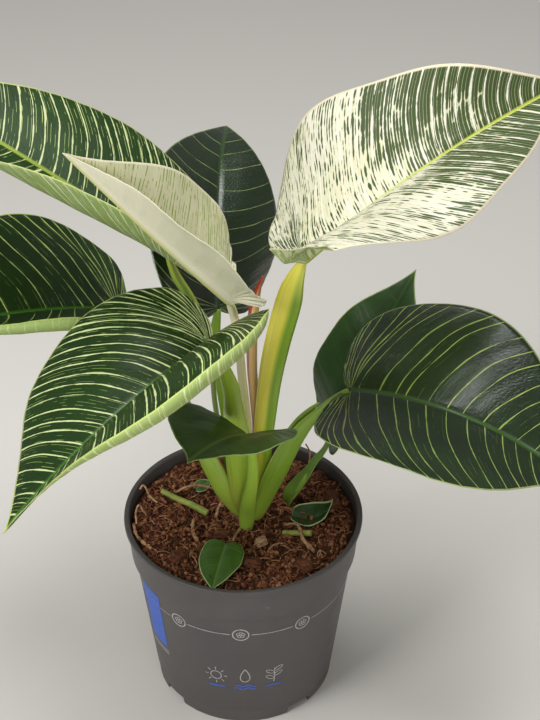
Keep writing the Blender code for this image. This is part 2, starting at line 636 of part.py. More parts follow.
def add_pot(collection, cutters) -> bpy.types.Object:
    """The pot: a turned shell with a raised drainage channel, foot notches and drain holes."""
    inside = FOOT_RADIUS - POT_WALL
    roof = CHANNEL_HEIGHT + POT_WALL
    step = COLLAR_BOTTOM - POT_WALL
    profile = [
        (0, POT_WALL), (CHANNEL_INNER - CHANNEL_SLOPE, POT_WALL), (CHANNEL_INNER, roof),
        (inner_radius(roof), roof), (inner_radius(step), step),
        (inner_radius(COLLAR_BOTTOM) - 0.1, COLLAR_BOTTOM + 0.6),
        (COLLAR_TOP_RADIUS - POT_WALL, POT_HEIGHT - 1.0),
        (COLLAR_TOP_RADIUS - POT_WALL + 0.6, POT_HEIGHT),
        (RIM_RADIUS - 0.7, POT_HEIGHT), (RIM_RADIUS, POT_HEIGHT - 0.7), (RIM_RADIUS, POT_HEIGHT - LIP_DEPTH),
        (COLLAR_TOP_RADIUS + 0.3, POT_HEIGHT - LIP_DEPTH - 0.4), (COLLAR_BOTTOM_RADIUS, COLLAR_BOTTOM),
        (WALL_TOP_RADIUS, COLLAR_BOTTOM - 0.5), (FOOT_RADIUS + 0.4, 1.0), (FOOT_RADIUS, 0), (inside, 0),
        (CHANNEL_OUTER, CHANNEL_HEIGHT), (CHANNEL_INNER + 0.8, CHANNEL_HEIGHT),
        (CHANNEL_INNER - CHANNEL_SLOPE + 0.8, 0), (0, 0),
    ]
    pot = add_object("pot", turned_mesh("pot", profile), collection, POT_GREY, 0.5)
    tools = []
    for i, angle in enumerate(NOTCH_ANGLES):
        bm = bmesh.new()
        bmesh.ops.create_cube(bm, size=1)
        bmesh.ops.scale(bm, vec=(NOTCH_REACH * MM, NOTCH_WIDTH * MM, 2 * NOTCH_HEIGHT * MM), verts=bm.verts)
        tools.append((f"notch_{i + 1}", bm, math.radians(angle), FOOT_RADIUS, 0.0))
    for i in range(DRAIN_HOLES):
        bm = bmesh.new()
        bmesh.ops.create_cone(bm, cap_ends=True, segments=DRAIN_SIDES, radius1=DRAIN_RADIUS * MM,
                              radius2=DRAIN_RADIUS * MM, depth=DRAIN_CUT * MM)
        turn = 2 * math.pi * (i + 0.5) / DRAIN_HOLES
        tools.append((f"drain_{i + 1}", bm, turn, (CHANNEL_INNER + CHANNEL_OUTER) / 2, CHANNEL_HEIGHT))
    made = []
    for name, bm, turn, reach, height in tools:
        bmesh.ops.rotate(bm, cent=(0, 0, 0), matrix=Matrix.Rotation(turn, 3, "Z"), verts=bm.verts)
        shift = (reach * math.cos(turn) * MM, reach * math.sin(turn) * MM, height * MM)
        bmesh.ops.translate(bm, vec=shift, verts=bm.verts)
        made.append(add_cutter(name, mesh_from(bm, name), cutters))
    boolean(pot, made, "DIFFERENCE")
    return pot


def add_stem(collection, cutters) -> tuple[bpy.types.Object, bpy.types.Object]:
    """The short stem and its main roots, as one body, and a cutter a little larger than it."""
    pair = []
    for grow in (0.0, GAP):
        profile = [
            (0, STEM_TOP + grow), (STEM_RADIUS * 0.6 + grow, STEM_TOP + grow),
            (STEM_RADIUS + grow, STEM_TOP - 8), (STEM_RADIUS + 1.5 + grow, SOIL_MIDDLE),
            (STEM_RADIUS + grow, STEM_FOOT + 6),
            (STEM_RADIUS * 0.5 + grow, STEM_FOOT - grow), (0, STEM_FOOT - grow),
        ]
        mesh = turned_mesh("stem", profile)
        for vert in mesh.vertices:
            vert.co.x += CROWN[0] * MM
            vert.co.y += CROWN[1] * MM
        if grow:
            stem = add_cutter("stem_room", mesh, cutters)
        else:
            stem = add_object("stem", mesh, collection, BARK_BROWN, 0.8)
        roots = []
        for i in range(ROOTS):
            turn = 2 * math.pi * (i + 0.3) / ROOTS
            route = []
            for share in (0.08, 0.35, 0.7, 1.0):
                reach = ROOT_REACH * share
                height = STEM_FOOT + 12 - ROOT_DROP * share ** 1.6
                route.append((CROWN[0] + reach * math.cos(turn), CROWN[1] + reach * math.sin(turn), height))
            mesh = tube_mesh(f"root_{i + 1}", route, (ROOT_RADIUS + grow, ROOT_RADIUS * 0.5 + grow))
            roots.append(add_cutter(f"root_{i + 1}_{'room' if grow else 'core'}", mesh, cutters))
        boolean(stem, roots, "UNION")
        pair.append(stem)
    return pair[0], pair[1]


def add_soil(collection, rooms) -> bpy.types.Object:
    """The plug of soil, open where the stem and the buried stalk stand in it."""
    roof = CHANNEL_HEIGHT + POT_WALL + GAP
    top_radius = inner_radius(SOIL_TOP) - GAP
    profile = [
        (0, SOIL_MIDDLE), (SOIL_DISH[0], SOIL_MIDDLE), (SOIL_DISH[1], SOIL_TOP), (SOIL_SHOULDER, SOIL_TOP),
        (top_radius, SOIL_TOP - SOIL_DIP),
        (inner_radius(COLLAR_BOTTOM - POT_WALL - 2) - GAP, COLLAR_BOTTOM - POT_WALL - 2),
        (inner_radius(roof) - GAP, roof), (CHANNEL_INNER, roof),
        (CHANNEL_INNER - CHANNEL_SLOPE - GAP, POT_WALL + GAP), (0, POT_WALL + GAP),
    ]
    soil = add_object("soil", turned_mesh("soil", profile), collection, SOIL_BROWN, 0.95)
    boolean(soil, rooms, "DIFFERENCE")
    return soil


def add_bark(name: str, piece, collection, colour) -> bpy.types.Object:
    """A chunk of bark: a box narrowed towards its top, with bevelled edges."""
    x, y, length, width, height, turn = piece
    bm = bmesh.new()
    bmesh.ops.create_cube(bm, size=1)
    for vert in bm.verts:
        slim = BARK_TAPER if vert.co.z > 0 else 1.0
        local_x = vert.co.x * length * slim
        local_y = vert.co.y * width * slim
        angle = math.radians(turn)
        own_x = x + local_x * math.cos(angle) - local_y * math.sin(angle)
        own_y = y + local_x * math.sin(angle) + local_y * math.cos(angle)
        own_z = soil_height(own_x, own_y) + BARK_LIFT + height * (vert.co.z + 0.5)
        vert.co = (own_x * MM, own_y * MM, own_z * MM)
    bm.normal_update()
    bmesh.ops.bevel(bm, geom=bm.edges[:], offset=0.9 * MM, segments=1, affect="EDGES")
    return add_object(name, mesh_from(bm, name), collection, colour, 0.9)


def main() -> None:
    """Build every sub-part of the plant in its pot."""
    for obj in list(bpy.data.objects):
        bpy.data.objects.remove(obj, do_unlink=True)
    parts = bpy.data.collections.new("potted_philodendron")
    cutters = bpy.data.collections.new("cutters")
    bpy.context.scene.collection.children.link(parts)
    bpy.context.scene.collection.children.link(cutters)

    add_pot(parts, cutters)
    stem, stem_room = add_stem(parts, cutters)

    rooms = [("stem", stem_room)]
    soil_rooms = [stem_room]
    stalks = {name: fitted_petiole(petiole, BLADES[name]) for name, petiole in PETIOLES.items()}
    stalks["spear"] = SPEAR
    order = ["small", "right_low", "left_low", "front", "right_high", "spear", "new", "left_high", "back",
             "back_low"]
    for name in order:
        node = name if name == "spear" else f"petiole_{name}"
        stalk = add_object(node, petiole_mesh(stalks[name], node), parts, stalks[name].colour, 0.4)
        boolean(stalk, [room for _, room in rooms], "DIFFERENCE")
        room = add_cutter(f"{node}_room", petiole_mesh(stalks[name], f"{node}_room", GAP), cutters)
        rooms.append((name, room))
        if name in ("small", "back_low"):
            soil_rooms.append(room)
    for name, tongue in TONGUES.items():
        flap = add_object(name, petiole_mesh(tongue, name), parts, tongue.colour, 0.4)
        boolean(flap, [room for _, room in rooms], "DIFFERENCE")
    for name, blade in BLADES.items():
        add_blade(f"blade_{name}", blade, parts, BLADE_COLOURS[name])

    add_soil(parts, soil_rooms)
    add_blade("small_soil_leaf", SMALL_LEAF, parts, GREEN_LEAF, SMALL_BLADE_STEPS)
    add_blade("curled_leaf", CURLED_LEAF, parts, GREEN_DARK, SMALL_BLADE_STEPS)
    add_blade("leaf_scrap", LEAF_SCRAP, parts, GREEN_LEAF, SMALL_BLADE_STEPS)
    for name, (route, start, end, colour) in SOIL_TUBES.items():
        lifted = [(x, y, soil_height(x, y) + LYING_HEIGHT + z) for x, y, z in route]
        add_object(name, tube_mesh(name, lifted, (start, end)), parts, colour, 0.7)
    for i, piece in enumerate(BARK):
        add_bark(f"bark_{i + 1}", piece, parts, BARK_BROWN)
    add_bark("beige_chip", BEIGE_CHIP, parts, TWIG_TAN)


main()
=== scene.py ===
"""Looks for the variegated philodendron in its nursery pot.

Sizes are in millimetres and degrees, as a plant keeper would take them. MM turns them into metres.
"""

import logging
import math
from dataclasses import dataclass
from enum import Enum
from functools import partial

import bmesh
import bpy
import numpy as np
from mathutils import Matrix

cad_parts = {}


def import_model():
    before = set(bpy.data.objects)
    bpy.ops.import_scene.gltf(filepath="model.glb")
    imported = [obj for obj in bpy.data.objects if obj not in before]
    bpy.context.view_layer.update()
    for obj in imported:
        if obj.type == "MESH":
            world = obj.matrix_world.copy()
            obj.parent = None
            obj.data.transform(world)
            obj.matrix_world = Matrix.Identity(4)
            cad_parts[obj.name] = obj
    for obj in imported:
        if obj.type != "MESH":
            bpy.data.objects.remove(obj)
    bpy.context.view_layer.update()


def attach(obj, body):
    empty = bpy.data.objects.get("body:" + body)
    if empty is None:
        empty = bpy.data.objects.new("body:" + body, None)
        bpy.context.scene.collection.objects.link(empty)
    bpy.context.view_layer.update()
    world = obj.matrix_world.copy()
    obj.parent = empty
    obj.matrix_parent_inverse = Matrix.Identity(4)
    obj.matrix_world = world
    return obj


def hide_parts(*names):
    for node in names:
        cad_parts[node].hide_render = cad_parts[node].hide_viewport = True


MM = 0.001
LEAST_ROUNDING = 0.01
BODY = "root"
LOG = logging.getLogger("philodendron")

# Blender's names of the nodes used most
MATH = "ShaderNodeMath"
VECTOR_MATH = "ShaderNodeVectorMath"
MIX = "ShaderNodeMix"
NOISE = "ShaderNodeTexNoise"
RANGE = "ShaderNodeMapRange"
BUMP = "ShaderNodeBump"
JOIN_XYZ = "ShaderNodeCombineXYZ"
SPLIT_XYZ = "ShaderNodeSeparateXYZ"

# Inputs of a colour mix node, which has several with one name
MIX_SHARE = 0
MIX_FIRST = 6
MIX_SECOND = 7


class Face(Enum):
    """The two faces of a leaf blade."""

    UPPER = "upper"
    LOWER = "lower"


def linear_colour(code: str) -> tuple[float, float, float, float]:
    """Turn an sRGB hex code into linear red, green, blue and alpha."""
    parts = [int(code[i:i + 2], 16) / 255 for i in (1, 3, 5)]
    linear = [c / 12.92 if c <= 0.04045 else ((c + 0.055) / 1.055) ** 2.4 for c in parts]
    return (*linear, 1.0)


def fill_inputs(node: bpy.types.Node, links: dict | list | tuple) -> None:
    """Link or set a node's inputs.

    Args:
        node: the node.
        links: for an input's name or number, its plain value, the output it is linked to, or a node, which
            stands for its first output in use. A list gives the first inputs in their order.
    """
    tree = node.id_data
    for key, value in links.items() if isinstance(links, dict) else enumerate(links):
        if isinstance(value, bpy.types.Node):
            value = next(output for output in value.outputs if output.enabled)
        if isinstance(value, bpy.types.NodeSocket):
            tree.links.new(value, node.inputs[key])
        else:
            node.inputs[key].default_value = value


def add_node(tree: bpy.types.NodeTree, kind: str, links: dict | list | tuple = (),
             **settings: str) -> bpy.types.Node:
    """Add a node with its settings and links.

    Args:
        tree: the tree that gets the node.
        kind: Blender's name of the node's type.
        links: what its inputs are linked to or set to, as in fill_inputs.
        settings: the node's own properties.

    Returns:
        The new node.
    """
    node = tree.nodes.new(kind)
    for name, value in settings.items():
        setattr(node, name, value)
    fill_inputs(node, links)
    return node


def lay_colours(tree: bpy.types.NodeTree, ground: str | bpy.types.Node, layers: list | tuple,
                blend: str = "MIX") -> bpy.types.Node:
    """Lay colours over each other.

    Args:
        tree: the tree that gets the nodes.
        ground: the lowest colour, as a hex code or a node.
        layers: from the lowest up, the node that gives each layer's share and the layer's hex code.
        blend: how each layer is blended with what lies below it.

    Returns:
        The node that gives the colour.
    """
    colour = linear_colour(ground) if isinstance(ground, str) else ground
    for share, code in layers:
        links = {MIX_SHARE: share, MIX_FIRST: colour, MIX_SECOND: linear_colour(code)}
        colour = add_node(tree, MIX, links, data_type="RGBA", blend_type=blend)
    return colour


def new_material(name: str, roughness: float,
                 specular: float = 0.5) -> tuple[bpy.types.Material, bpy.types.Node]:
    """Start a material.

    Args:
        name: the material's name.
        roughness: the roughness of its surface.
        specular: the level of its mirror reflection.

    Returns:
        The material and its main shader.
    """
    material = bpy.data.materials.new(name)
    material.use_nodes = True
    shader = material.node_tree.nodes["Principled BSDF"]
    fill_inputs(shader, {"Roughness": roughness, "Specular IOR Level": specular})
    return material, shader


def add_object(name: str, data: bpy.types.ID) -> bpy.types.Object:
    """Put a mesh, lamp or camera into the scene."""
    obj = bpy.data.objects.new(name, data)
    bpy.context.scene.collection.objects.link(obj)
    return obj


def add_piece(name: str, mesh: bpy.types.Mesh, materials: list[bpy.types.Material],
              node: str = "") -> bpy.types.Object:
    """Put a finished mesh into the scene as a smooth-shaded piece that rides on the plant's one body.

    Args:
        name: the piece's name.
        mesh: its mesh.
        materials: its materials.
        node: the CAD node that it replaces, if any.

    Returns:
        The piece.
    """
    obj = add_object(name, mesh)
    if mesh.materials:
        mesh.materials.clear()
    for material in materials:
        mesh.materials.append(material)
    mesh.shade_smooth()
    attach(obj, BODY)
    if node:
        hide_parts(node)
    return obj


def new_mesh(name: str, points: np.ndarray, faces: list) -> bpy.types.Mesh:
    """A mesh of points in millimetres and faces."""
    mesh = bpy.data.meshes.new(name)
    mesh.from_pydata((points * MM).tolist(), [], faces)
    return mesh


def finished_mesh(name: str, bm: bmesh.types.BMesh) -> bpy.types.Mesh:
    """The mesh of a bmesh that is complete."""
    mesh = bpy.data.meshes.new(name)
    bm.to_mesh(mesh)
    bm.free()
    return mesh


def plain_mesh(obj: bpy.types.Object, name: str) -> bpy.types.Mesh:
    """Turn an object with live modifiers into a plain mesh, and remove the object.

    Args:
        obj: the object.
        name: the mesh's name.

    Returns:
        The mesh, with the modifiers applied.
    """
    graph = bpy.context.evaluated_depsgraph_get()
    graph.update()
    mesh = bpy.data.meshes.new_from_object(obj.evaluated_get(graph))
    old = obj.data
    bpy.data.objects.remove(obj)
    if old.users == 0 and isinstance(old, bpy.types.Mesh):
        bpy.data.meshes.remove(old)
    mesh.name = name
    return mesh


def tidy_mesh(mesh: bpy.types.Mesh, weld: float = 0.004) -> bpy.types.Mesh:
    """Merge doubled points and point the faces outwards.

    Args:
        mesh: the mesh to tidy.
        weld: the merge distance in millimetres.

    Returns:
        The same mesh.
    """
    bm = bmesh.new()
    bm.from_mesh(mesh)
    bmesh.ops.remove_doubles(bm, verts=bm.verts, dist=weld * MM)
    bmesh.ops.dissolve_degenerate(bm, edges=bm.edges, dist=weld / 4 * MM)
    bmesh.ops.recalc_face_normals(bm, faces=bm.faces)
    if bm.calc_volume(signed=True) < 0:
        bmesh.ops.reverse_faces(bm, faces=bm.faces)
    bm.to_mesh(mesh)
    bm.free()
    return mesh


def round_angles(count: int) -> np.ndarray:
    """Angles in radians of places evenly round a circle."""
    return np.arange(count) * 2 * np.pi / count


def wall_faces(rings: int, steps: int) -> list[list[int]]:
    """Faces between rings of points that are numbered in turn.

    Args:
        rings: the count of rings.
        steps: the count of points in each ring.

    Returns:
        Four point numbers for each face.
    """
    index = np.arange(rings * steps).reshape(rings, steps)
    ahead = np.roll(index, -1, axis=1)
    return np.stack([index[:-1], ahead[:-1], ahead[1:], index[1:]], -1).reshape(-1, 4).tolist()


def join_rings(bm: bmesh.types.BMesh, rings: list[list[bmesh.types.BMVert]], closed: bool = False) -> None:
    """Put faces between rings of points.

    Args:
        bm: the mesh that gets the faces.
        rings: the points of each ring.
        closed: whether the last ring is joined to the first.
    """
    spans = list(zip(rings, rings[1:]))
    if closed:
        spans.append((rings[-1], rings[0]))
    for one, two in spans:
        for i in range(len(one)):
            j = (i + 1) % len(one)
            bm.faces.new((one[i], one[j], two[j], two[i]))


def cubic(points: list[tuple[float, float]], t: np.ndarray) -> np.ndarray:
    """Points on one cubic Bezier arc.

    Args:
        points: its two ends and, between them, its two handles.
        t: the share of the arc at each point.

    Returns:
        A row for each point.
    """
    a, b, c, d = (np.array(p, float) for p in points)
    t = t[:, None]
    return (1 - t) ** 3 * a + 3 * t * (1 - t) ** 2 * b + 3 * t * t * (1 - t) * c + t ** 3 * d


def smooth_route(points: list[tuple[float, ...]], per_span: int) -> np.ndarray:
    """Draw a Catmull-Rom curve through rows of numbers.

    Args:
        points: the rows it passes through.
        per_span: steps from each row to the next.

    Returns:
        The rows of the curve.
    """
    rows = np.array(points, float)
    rows = np.vstack([2 * rows[0] - rows[1], rows, 2 * rows[-1] - rows[-2]])
    out = []
    for i in range(1, len(rows) - 2):
        a, b, c, d = rows[i - 1:i + 3]
        for t in np.arange(per_span) / per_span:
            out.append(0.5 * (2 * b + (c - a) * t + (2 * a - 5 * b + 4 * c - d) * t * t
                              + (3 * b - a - 3 * c + d) * t ** 3))
    out.append(rows[-2])
    return np.array(out)


def smooth_step(low: float, high: float, value: np.ndarray) -> np.ndarray:
    """Ease from 0 at low to 1 at high."""
    share = np.clip((value - low) / (high - low), 0, 1)
    return share * share * (3 - 2 * share)


@dataclass(frozen=True)
class Blade:
    """Driving dimensions of one heart-shaped leaf blade.

    Left and right are as seen when looking from the base to the tip. Angles with two values go from the
    base to the tip. A fold lifts a half out of the leaf's plane, and a curl is what its cross-section
    turns by from the midrib to the margin.
    """

    base: tuple[float, float, float]
    length: float
    half_width: float
    heading: float
    sweep: float
    rise: tuple[float, float]
    roll: tuple[float, float]
    fold_left: tuple[float, float]
    fold_right: tuple[float, float]
    curl: tuple[float, float]
    lobe: float
    widest: float
    tip: float
    lobe_droop: tuple[float, float] = (0.0, 0.0)
    wave: float = 0.0
    wave_phase: float = 0.0
    waves: float = 2.0

    OUTLINE_POINTS = 160
    RIB_STEPS = 200
    NORMAL_STEP = 0.3  # mm
    RIB_ROUNDING = 0.8  # mm
    VEIN_SLANT = 0.55
    VEIN_BOW = 0.16
    RIB_SOFTNESS = 0.03
    RIB_SNAP = 0.3

    def half_outline(self) -> np.ndarray:
        """Half of the flat outline, from the notch at the base round the lobe to the tip."""
        lobe = self.lobe / self.length
        wide = self.widest
        t = np.linspace(0, 1, self.OUTLINE_POINTS)
        inner = cubic([(0, 0), (-0.55 * lobe, 0.02), (-lobe, 0.16), (-lobe, 0.42)], t)
        outer = cubic([(-lobe, 0.42), (-lobe, 0.80), (0.45 * wide - 0.55 * lobe, 1), (wide, 1)], t)
        tail = cubic([(wide, 1), (0.5 + 0.5 * wide, 1), (1 - self.tip, 0.16), (1, 0)], t)
        return np.vstack([inner, outer[1:], tail[1:]]) * (self.length, self.half_width)

    def flat(self, u: np.ndarray, v: np.ndarray) -> tuple[np.ndarray, np.ndarray, np.ndarray]:
        """Places on the flat leaf.

        Args:
            u: 0 to 1 along the margin, from the notch to the tip. Lines of constant u follow side veins.
            v: -1 to 1 from the right margin over the midrib to the left margin.

        Returns:
            The place along the midrib, the distance from it, and the length of the side vein.
        """
        size = self.length
        outline = self.half_outline()
        run = np.concatenate([[0], np.cumsum(np.hypot(*np.diff(outline, axis=0).T))])
        run /= run[-1]
        edge_x = np.interp(u, run, outline[:, 0])
        edge_y = np.interp(u, run, outline[:, 1])

        def rib_start(x: np.ndarray | float, y: np.ndarray | float) -> np.ndarray | float:
            """Where on the midrib the side vein through a place begins, before it is fitted to its ends."""
            raw = (x - self.VEIN_SLANT * y) / size
            return size * np.logaddexp(0, raw / self.RIB_SOFTNESS) * self.RIB_SOFTNESS

        first = rib_start(0.0, 0.0)
        last = rib_start(size, 0.0)
        rib_x = np.clip((rib_start(edge_x, edge_y) - first) * size / (last - first), 0, size)
        rib_x = np.where(rib_x < self.RIB_SNAP, 0, rib_x)
        bend_x = (rib_x + edge_x) / 2 - self.VEIN_BOW * edge_y
        bend_y = edge_y / 2 + self.VEIN_BOW * (edge_x - rib_x)
        w = np.abs(v)
        x = (1 - w) ** 2 * rib_x + 2 * w * (1 - w) * bend_x + w * w * edge_x
        y = 2 * w * (1 - w) * bend_y + w * w * edge_y
        return x, y, np.hypot(edge_x - rib_x, edge_y)

    def place(self, x: np.ndarray, y: np.ndarray, left: np.ndarray) -> np.ndarray:
        """Places in space of points of the flat leaf.

        Args:
            x: the place along the midrib.
            y: the distance from the midrib.
            left: whether each point is on the left half.

        Returns:
            Rows of x, y and z in millimetres.
        """
        size = self.length
        along = np.clip(x / size, 0, 1)
        fold = np.where(left, self.fold_left[0] + (self.fold_left[1] - self.fold_left[0]) * along,
                        self.fold_right[0] + (self.fold_right[1] - self.fold_right[0]) * along)
        fold = np.radians(fold)
        curl = np.radians(np.where(left, self.curl[0], self.curl[1]))
        reach = y / self.half_width
        radius = self.half_width / curl
        across = radius * (np.sin(fold + curl * reach) - np.sin(fold))
        height = radius * (np.cos(fold) - np.cos(fold + curl * reach))
        phase = np.radians(self.wave_phase) + np.where(left, 0, 0.7 * np.pi)
        height = height + self.wave * reach ** 2 * np.sin(2 * np.pi * self.waves * x / size + phase)

        steps = np.linspace(0, 1, self.RIB_STEPS + 1)
        heading = np.radians(self.heading + self.sweep * steps)
        rise = np.radians(self.rise[0] + (self.rise[1] - self.rise[0]) * steps)
        tangent = np.stack([np.cos(rise) * np.cos(heading), np.cos(rise) * np.sin(heading), np.sin(rise)], -1)
        middle = (tangent[1:] + tangent[:-1]) / 2 * size / self.RIB_STEPS
        rib = np.vstack([[0, 0, 0], np.cumsum(middle, axis=0)]) + np.array(self.base, float)

        def on_rib(table: np.ndarray) -> np.ndarray:
            """Read a table along the midrib at each point's place."""
            return np.stack([np.interp(along, steps, table[:, i]) for i in range(3)], -1)

        forward = on_rib(tangent)
        forward /= np.linalg.norm(forward, axis=-1, keepdims=True)
        turn = np.radians(self.heading + self.sweep * along)
        level = np.stack([-np.sin(turn), np.cos(turn), np.zeros_like(turn)], -1)
        upright = np.cross(forward, level)
        roll = np.radians(self.roll[0] + (self.roll[1] - self.roll[0]) * along)[..., None]
        side = level * np.cos(roll) + upright * np.sin(roll)
        normal = upright * np.cos(roll) - level * np.sin(roll)

        behind = np.minimum(x, 0)
        droop = np.radians(np.where(left, self.lobe_droop[0], self.lobe_droop[1])) + 1e-6
        bend = self.lobe / droop
        back = bend * np.sin(behind / bend)
        fall = -bend * (1 - np.cos(behind / bend))
        sideways = np.where(left, 1, -1) * across
        return (on_rib(rib) + forward * back[..., None] + normal * (height + fall)[..., None]
                + side * sideways[..., None])

    def normals(self, x: np.ndarray, y: np.ndarray, left: np.ndarray) -> np.ndarray:
        """Upward normals of the leaf's surface, rounded over the midrib.

        Args:
            x: the place along the midrib.
            y: the distance from the midrib.
            left: whether each point is on the left half.

        Returns:
            Rows of unit vectors.
        """
        step = self.NORMAL_STEP
        along = np.where(x > self.length / 2, -step, step)

        def of_half(half: np.ndarray) -> np.ndarray:
            """Normals of the half that each point is taken to be on."""
            here = self.place(x, y, half)
            ahead = (self.place(x + along, y, half) - here) / along[..., None]
            out = self.place(x, y + step, half) - here
            cross = np.cross(ahead, out) * np.where(half, 1, -1)[..., None]
            return cross / np.linalg.norm(cross, axis=-1, keepdims=True)

        own = of_half(left)
        other = of_half(~left)
        share = (0.5 * np.exp(-(y / self.RIB_ROUNDING) ** 2))[..., None]
        mixed = own * (1 - share) + other * share
        return mixed / np.linalg.norm(mixed, axis=-1, keepdims=True)


@dataclass(frozen=True)
class LeafFinish:
    """Leaf tissue under a thin waxy cuticle, striped where cells lack green.

    The eye sees a soft gloss, broken along the side veins. Strong lines run from the midrib to the margin
    and waver, and between them lie rows of fine broken dashes. Counts are for one half, from the notch to
    the tip, and sizes are in millimetres.
    """

    name: str
    ground: str
    ground_second: str
    line: str
    dash: str
    dash_edge: str
    rib: str
    margin: str
    under: str
    under_line: str
    lines: float
    line_mm: float
    breaks: float
    rows: float
    row_mm: float
    dash_mm: float
    cover: float
    strength: float = 0.8
    edge_strength: float = 0.5
    banding: float = 0.0
    crowding: float = 0.0
    waver_mm: float = 1.0
    clouds: float = 0.5
    rib_half: float = 1.2
    margin_width: float = 0.7
    rough: float = 0.34
    coat: float = 0.25
    shine: float = 0.3
    streak_bump: float = 0.35
    bare_left: bool = False
    full_from: float = 2.0
    full_to: float = 2.2
    seed: float = 0.0

    HALVES_APART = 37.0  # keeps the two halves' patterns apart
    ROWS_APART = 7.31  # keeps the dashes of two rows apart
    UNEVEN_ROWS = 1.2
    WAVERS = 9.0
    BANDS = 14.0
    WIDEST_LINE = 0.2
    WIDEST_ROW = 0.6

    def material(self, face: Face) -> bpy.types.Material:
        """Build the material of one face of the leaf.

        Args:
            face: the upper face, or the paler and duller lower one.

        Returns:
            The material.
        """
        upper = face is Face.UPPER
        material, shader = new_material(f"{self.name}_{face.value}", self.rough if upper else 0.5, self.shine)
        tree = material.node_tree
        add = partial(add_node, tree)

        # Where the point is: along the margin, across the half, and in millimetres from the mesh
        uv = add("ShaderNodeUVMap", uv_map="veins")
        parts = add(SPLIT_XYZ, [uv])
        along = parts.outputs[0]
        signed = add(MATH, [parts.outputs[1], 2.0, -1.0], operation="MULTIPLY_ADD")
        across = add(MATH, [signed], operation="ABSOLUTE")
        half = add(MATH, [signed, 0.0], operation="GREATER_THAN")
        shift = add(MATH, [half, self.HALVES_APART, self.seed], operation="MULTIPLY_ADD")
        spread, out_mm, rib_far, edge_far = (
            add("ShaderNodeAttribute", attribute_name=name).outputs["Fac"]
            for name in ("spread_mm", "vein_mm", "rib_mm", "margin_mm"))

        def drawn_out(place: bpy.types.Node, per_mm: float, start: bpy.types.Node | float,
                      **inputs: float) -> bpy.types.Node:
            """Noise over a place along the margin, drawn out along the veins.

            Args:
                place: the place along the margin, to some scale.
                per_mm: how fast the noise changes along a vein.
                start: what sets this pattern apart from others.
                inputs: inputs of the noise node.

            Returns:
                The noise node.
            """
            step = add(MATH, [out_mm, per_mm], operation="MULTIPLY")
            spot = add(JOIN_XYZ, [place, step, start])
            return add(NOISE, {"Vector": spot, "Scale": 1.0, **inputs})

        # Veins waver by about a millimetre
        slow = add(MATH, [along, self.WAVERS], operation="MULTIPLY")
        waver = drawn_out(slow, 0.04, shift, Detail=0.4)
        waver = add(MATH, [waver, 4 * self.waver_mm, -2 * self.waver_mm], operation="MULTIPLY_ADD")
        aside = add(MATH, [waver, spread], operation="DIVIDE")
        vein = add(MATH, [along, aside], operation="ADD")

        # Strong lines at uneven spacing, which thin out and break
        count = add(MATH, [vein, self.lines, shift], operation="MULTIPLY_ADD")
        cells = add("ShaderNodeTexVoronoi", {"W": count, "Scale": 1.0, "Randomness": 0.9},
                    voronoi_dimensions="1D", feature="DISTANCE_TO_EDGE")
        vary = drawn_out(count, 0.09, 0.0, Scale=0.9, Detail=3.0, Roughness=0.6)
        vary = add(RANGE, [vary, 0.25 + 0.28 * self.breaks, 0.72, 0.0, 1.8])
        width = add(MATH, [vary, self.line_mm * self.lines / 2], operation="MULTIPLY")
        width = add(MATH, [width, spread], operation="DIVIDE")
        width = add(MATH, [width, self.WIDEST_LINE], operation="MINIMUM")
        core = add(MATH, [width, 0.45], operation="MULTIPLY")
        line = add(RANGE, [cells.outputs["Distance"], width, core], interpolation_type="SMOOTHSTEP")

        # Rows of fine dashes at uneven spacing, each row broken at its own places
        uneven = add(MATH, [vein, self.rows / 3.3], operation="MULTIPLY")
        uneven = add(NOISE, {"W": uneven, "Scale": 1.0, "Detail": 1.0}, noise_dimensions="1D")
        uneven = add(MATH, [uneven, self.UNEVEN_ROWS, shift], operation="MULTIPLY_ADD")
        count = add(MATH, [vein, self.rows, uneven], operation="MULTIPLY_ADD")
        row = add(MATH, [count], operation="FLOOR")
        middle = add(MATH, [count], operation="FRACT")
        middle = add(MATH, [middle, 0.5], operation="SUBTRACT")
        middle = add(MATH, [middle], operation="ABSOLUTE")
        start = add(MATH, [row, self.ROWS_APART], operation="MULTIPLY")
        level = drawn_out(start, 1 / self.dash_mm, shift, Detail=3.0)
        bands = add(MATH, [vein, self.BANDS], operation="MULTIPLY")
        bands = drawn_out(bands, 0.035, shift, Detail=2.0)
        bands = add(MATH, [bands, self.banding, -self.banding / 2], operation="MULTIPLY_ADD")
        level = add(MATH, [level, bands], operation="ADD")
        zone = add(MATH, [across, 0.16, vein], operation="MULTIPLY_ADD")
        zone = add(MATH, [bands, 0.7, zone], operation="MULTIPLY_ADD")
        zone = add(RANGE, [zone, self.full_from, self.full_to, 0.0, 0.36])
        level = add(MATH, [level, zone], operation="ADD")
        limit = 0.5 + 0.32 * (0.5 - self.cover)
        width = add(MATH, [self.row_mm * self.rows / 2, spread], operation="DIVIDE")
        width = add(MATH, [width, zone], operation="ADD")
        crowd = add(RANGE, [level, limit, limit + 0.22, 0.0, self.crowding])
        width = add(MATH, [width, crowd], operation="ADD")
        width = add(MATH, [width, self.WIDEST_ROW], operation="MINIMUM")
        core = add(MATH, [width, 0.6], operation="MULTIPLY")
        body = add(RANGE, [middle, width, core], interpolation_type="SMOOTHSTEP")
        marks = [line]
        for low, high, strength in ((limit - 0.015, limit + 0.015, self.strength),
                                    (limit - 0.10, limit, self.edge_strength)):
            mark = add(RANGE, [level, low, high, 0.0, strength], interpolation_type="SMOOTHSTEP")
            marks.append(add(MATH, [mark, body], operation="MULTIPLY"))
        if self.bare_left:
            bare = add(MATH, [1.0, half], operation="SUBTRACT")
            marks = [add(MATH, [mark, bare], operation="MULTIPLY") for mark in marks]
        line, dash, halo = marks

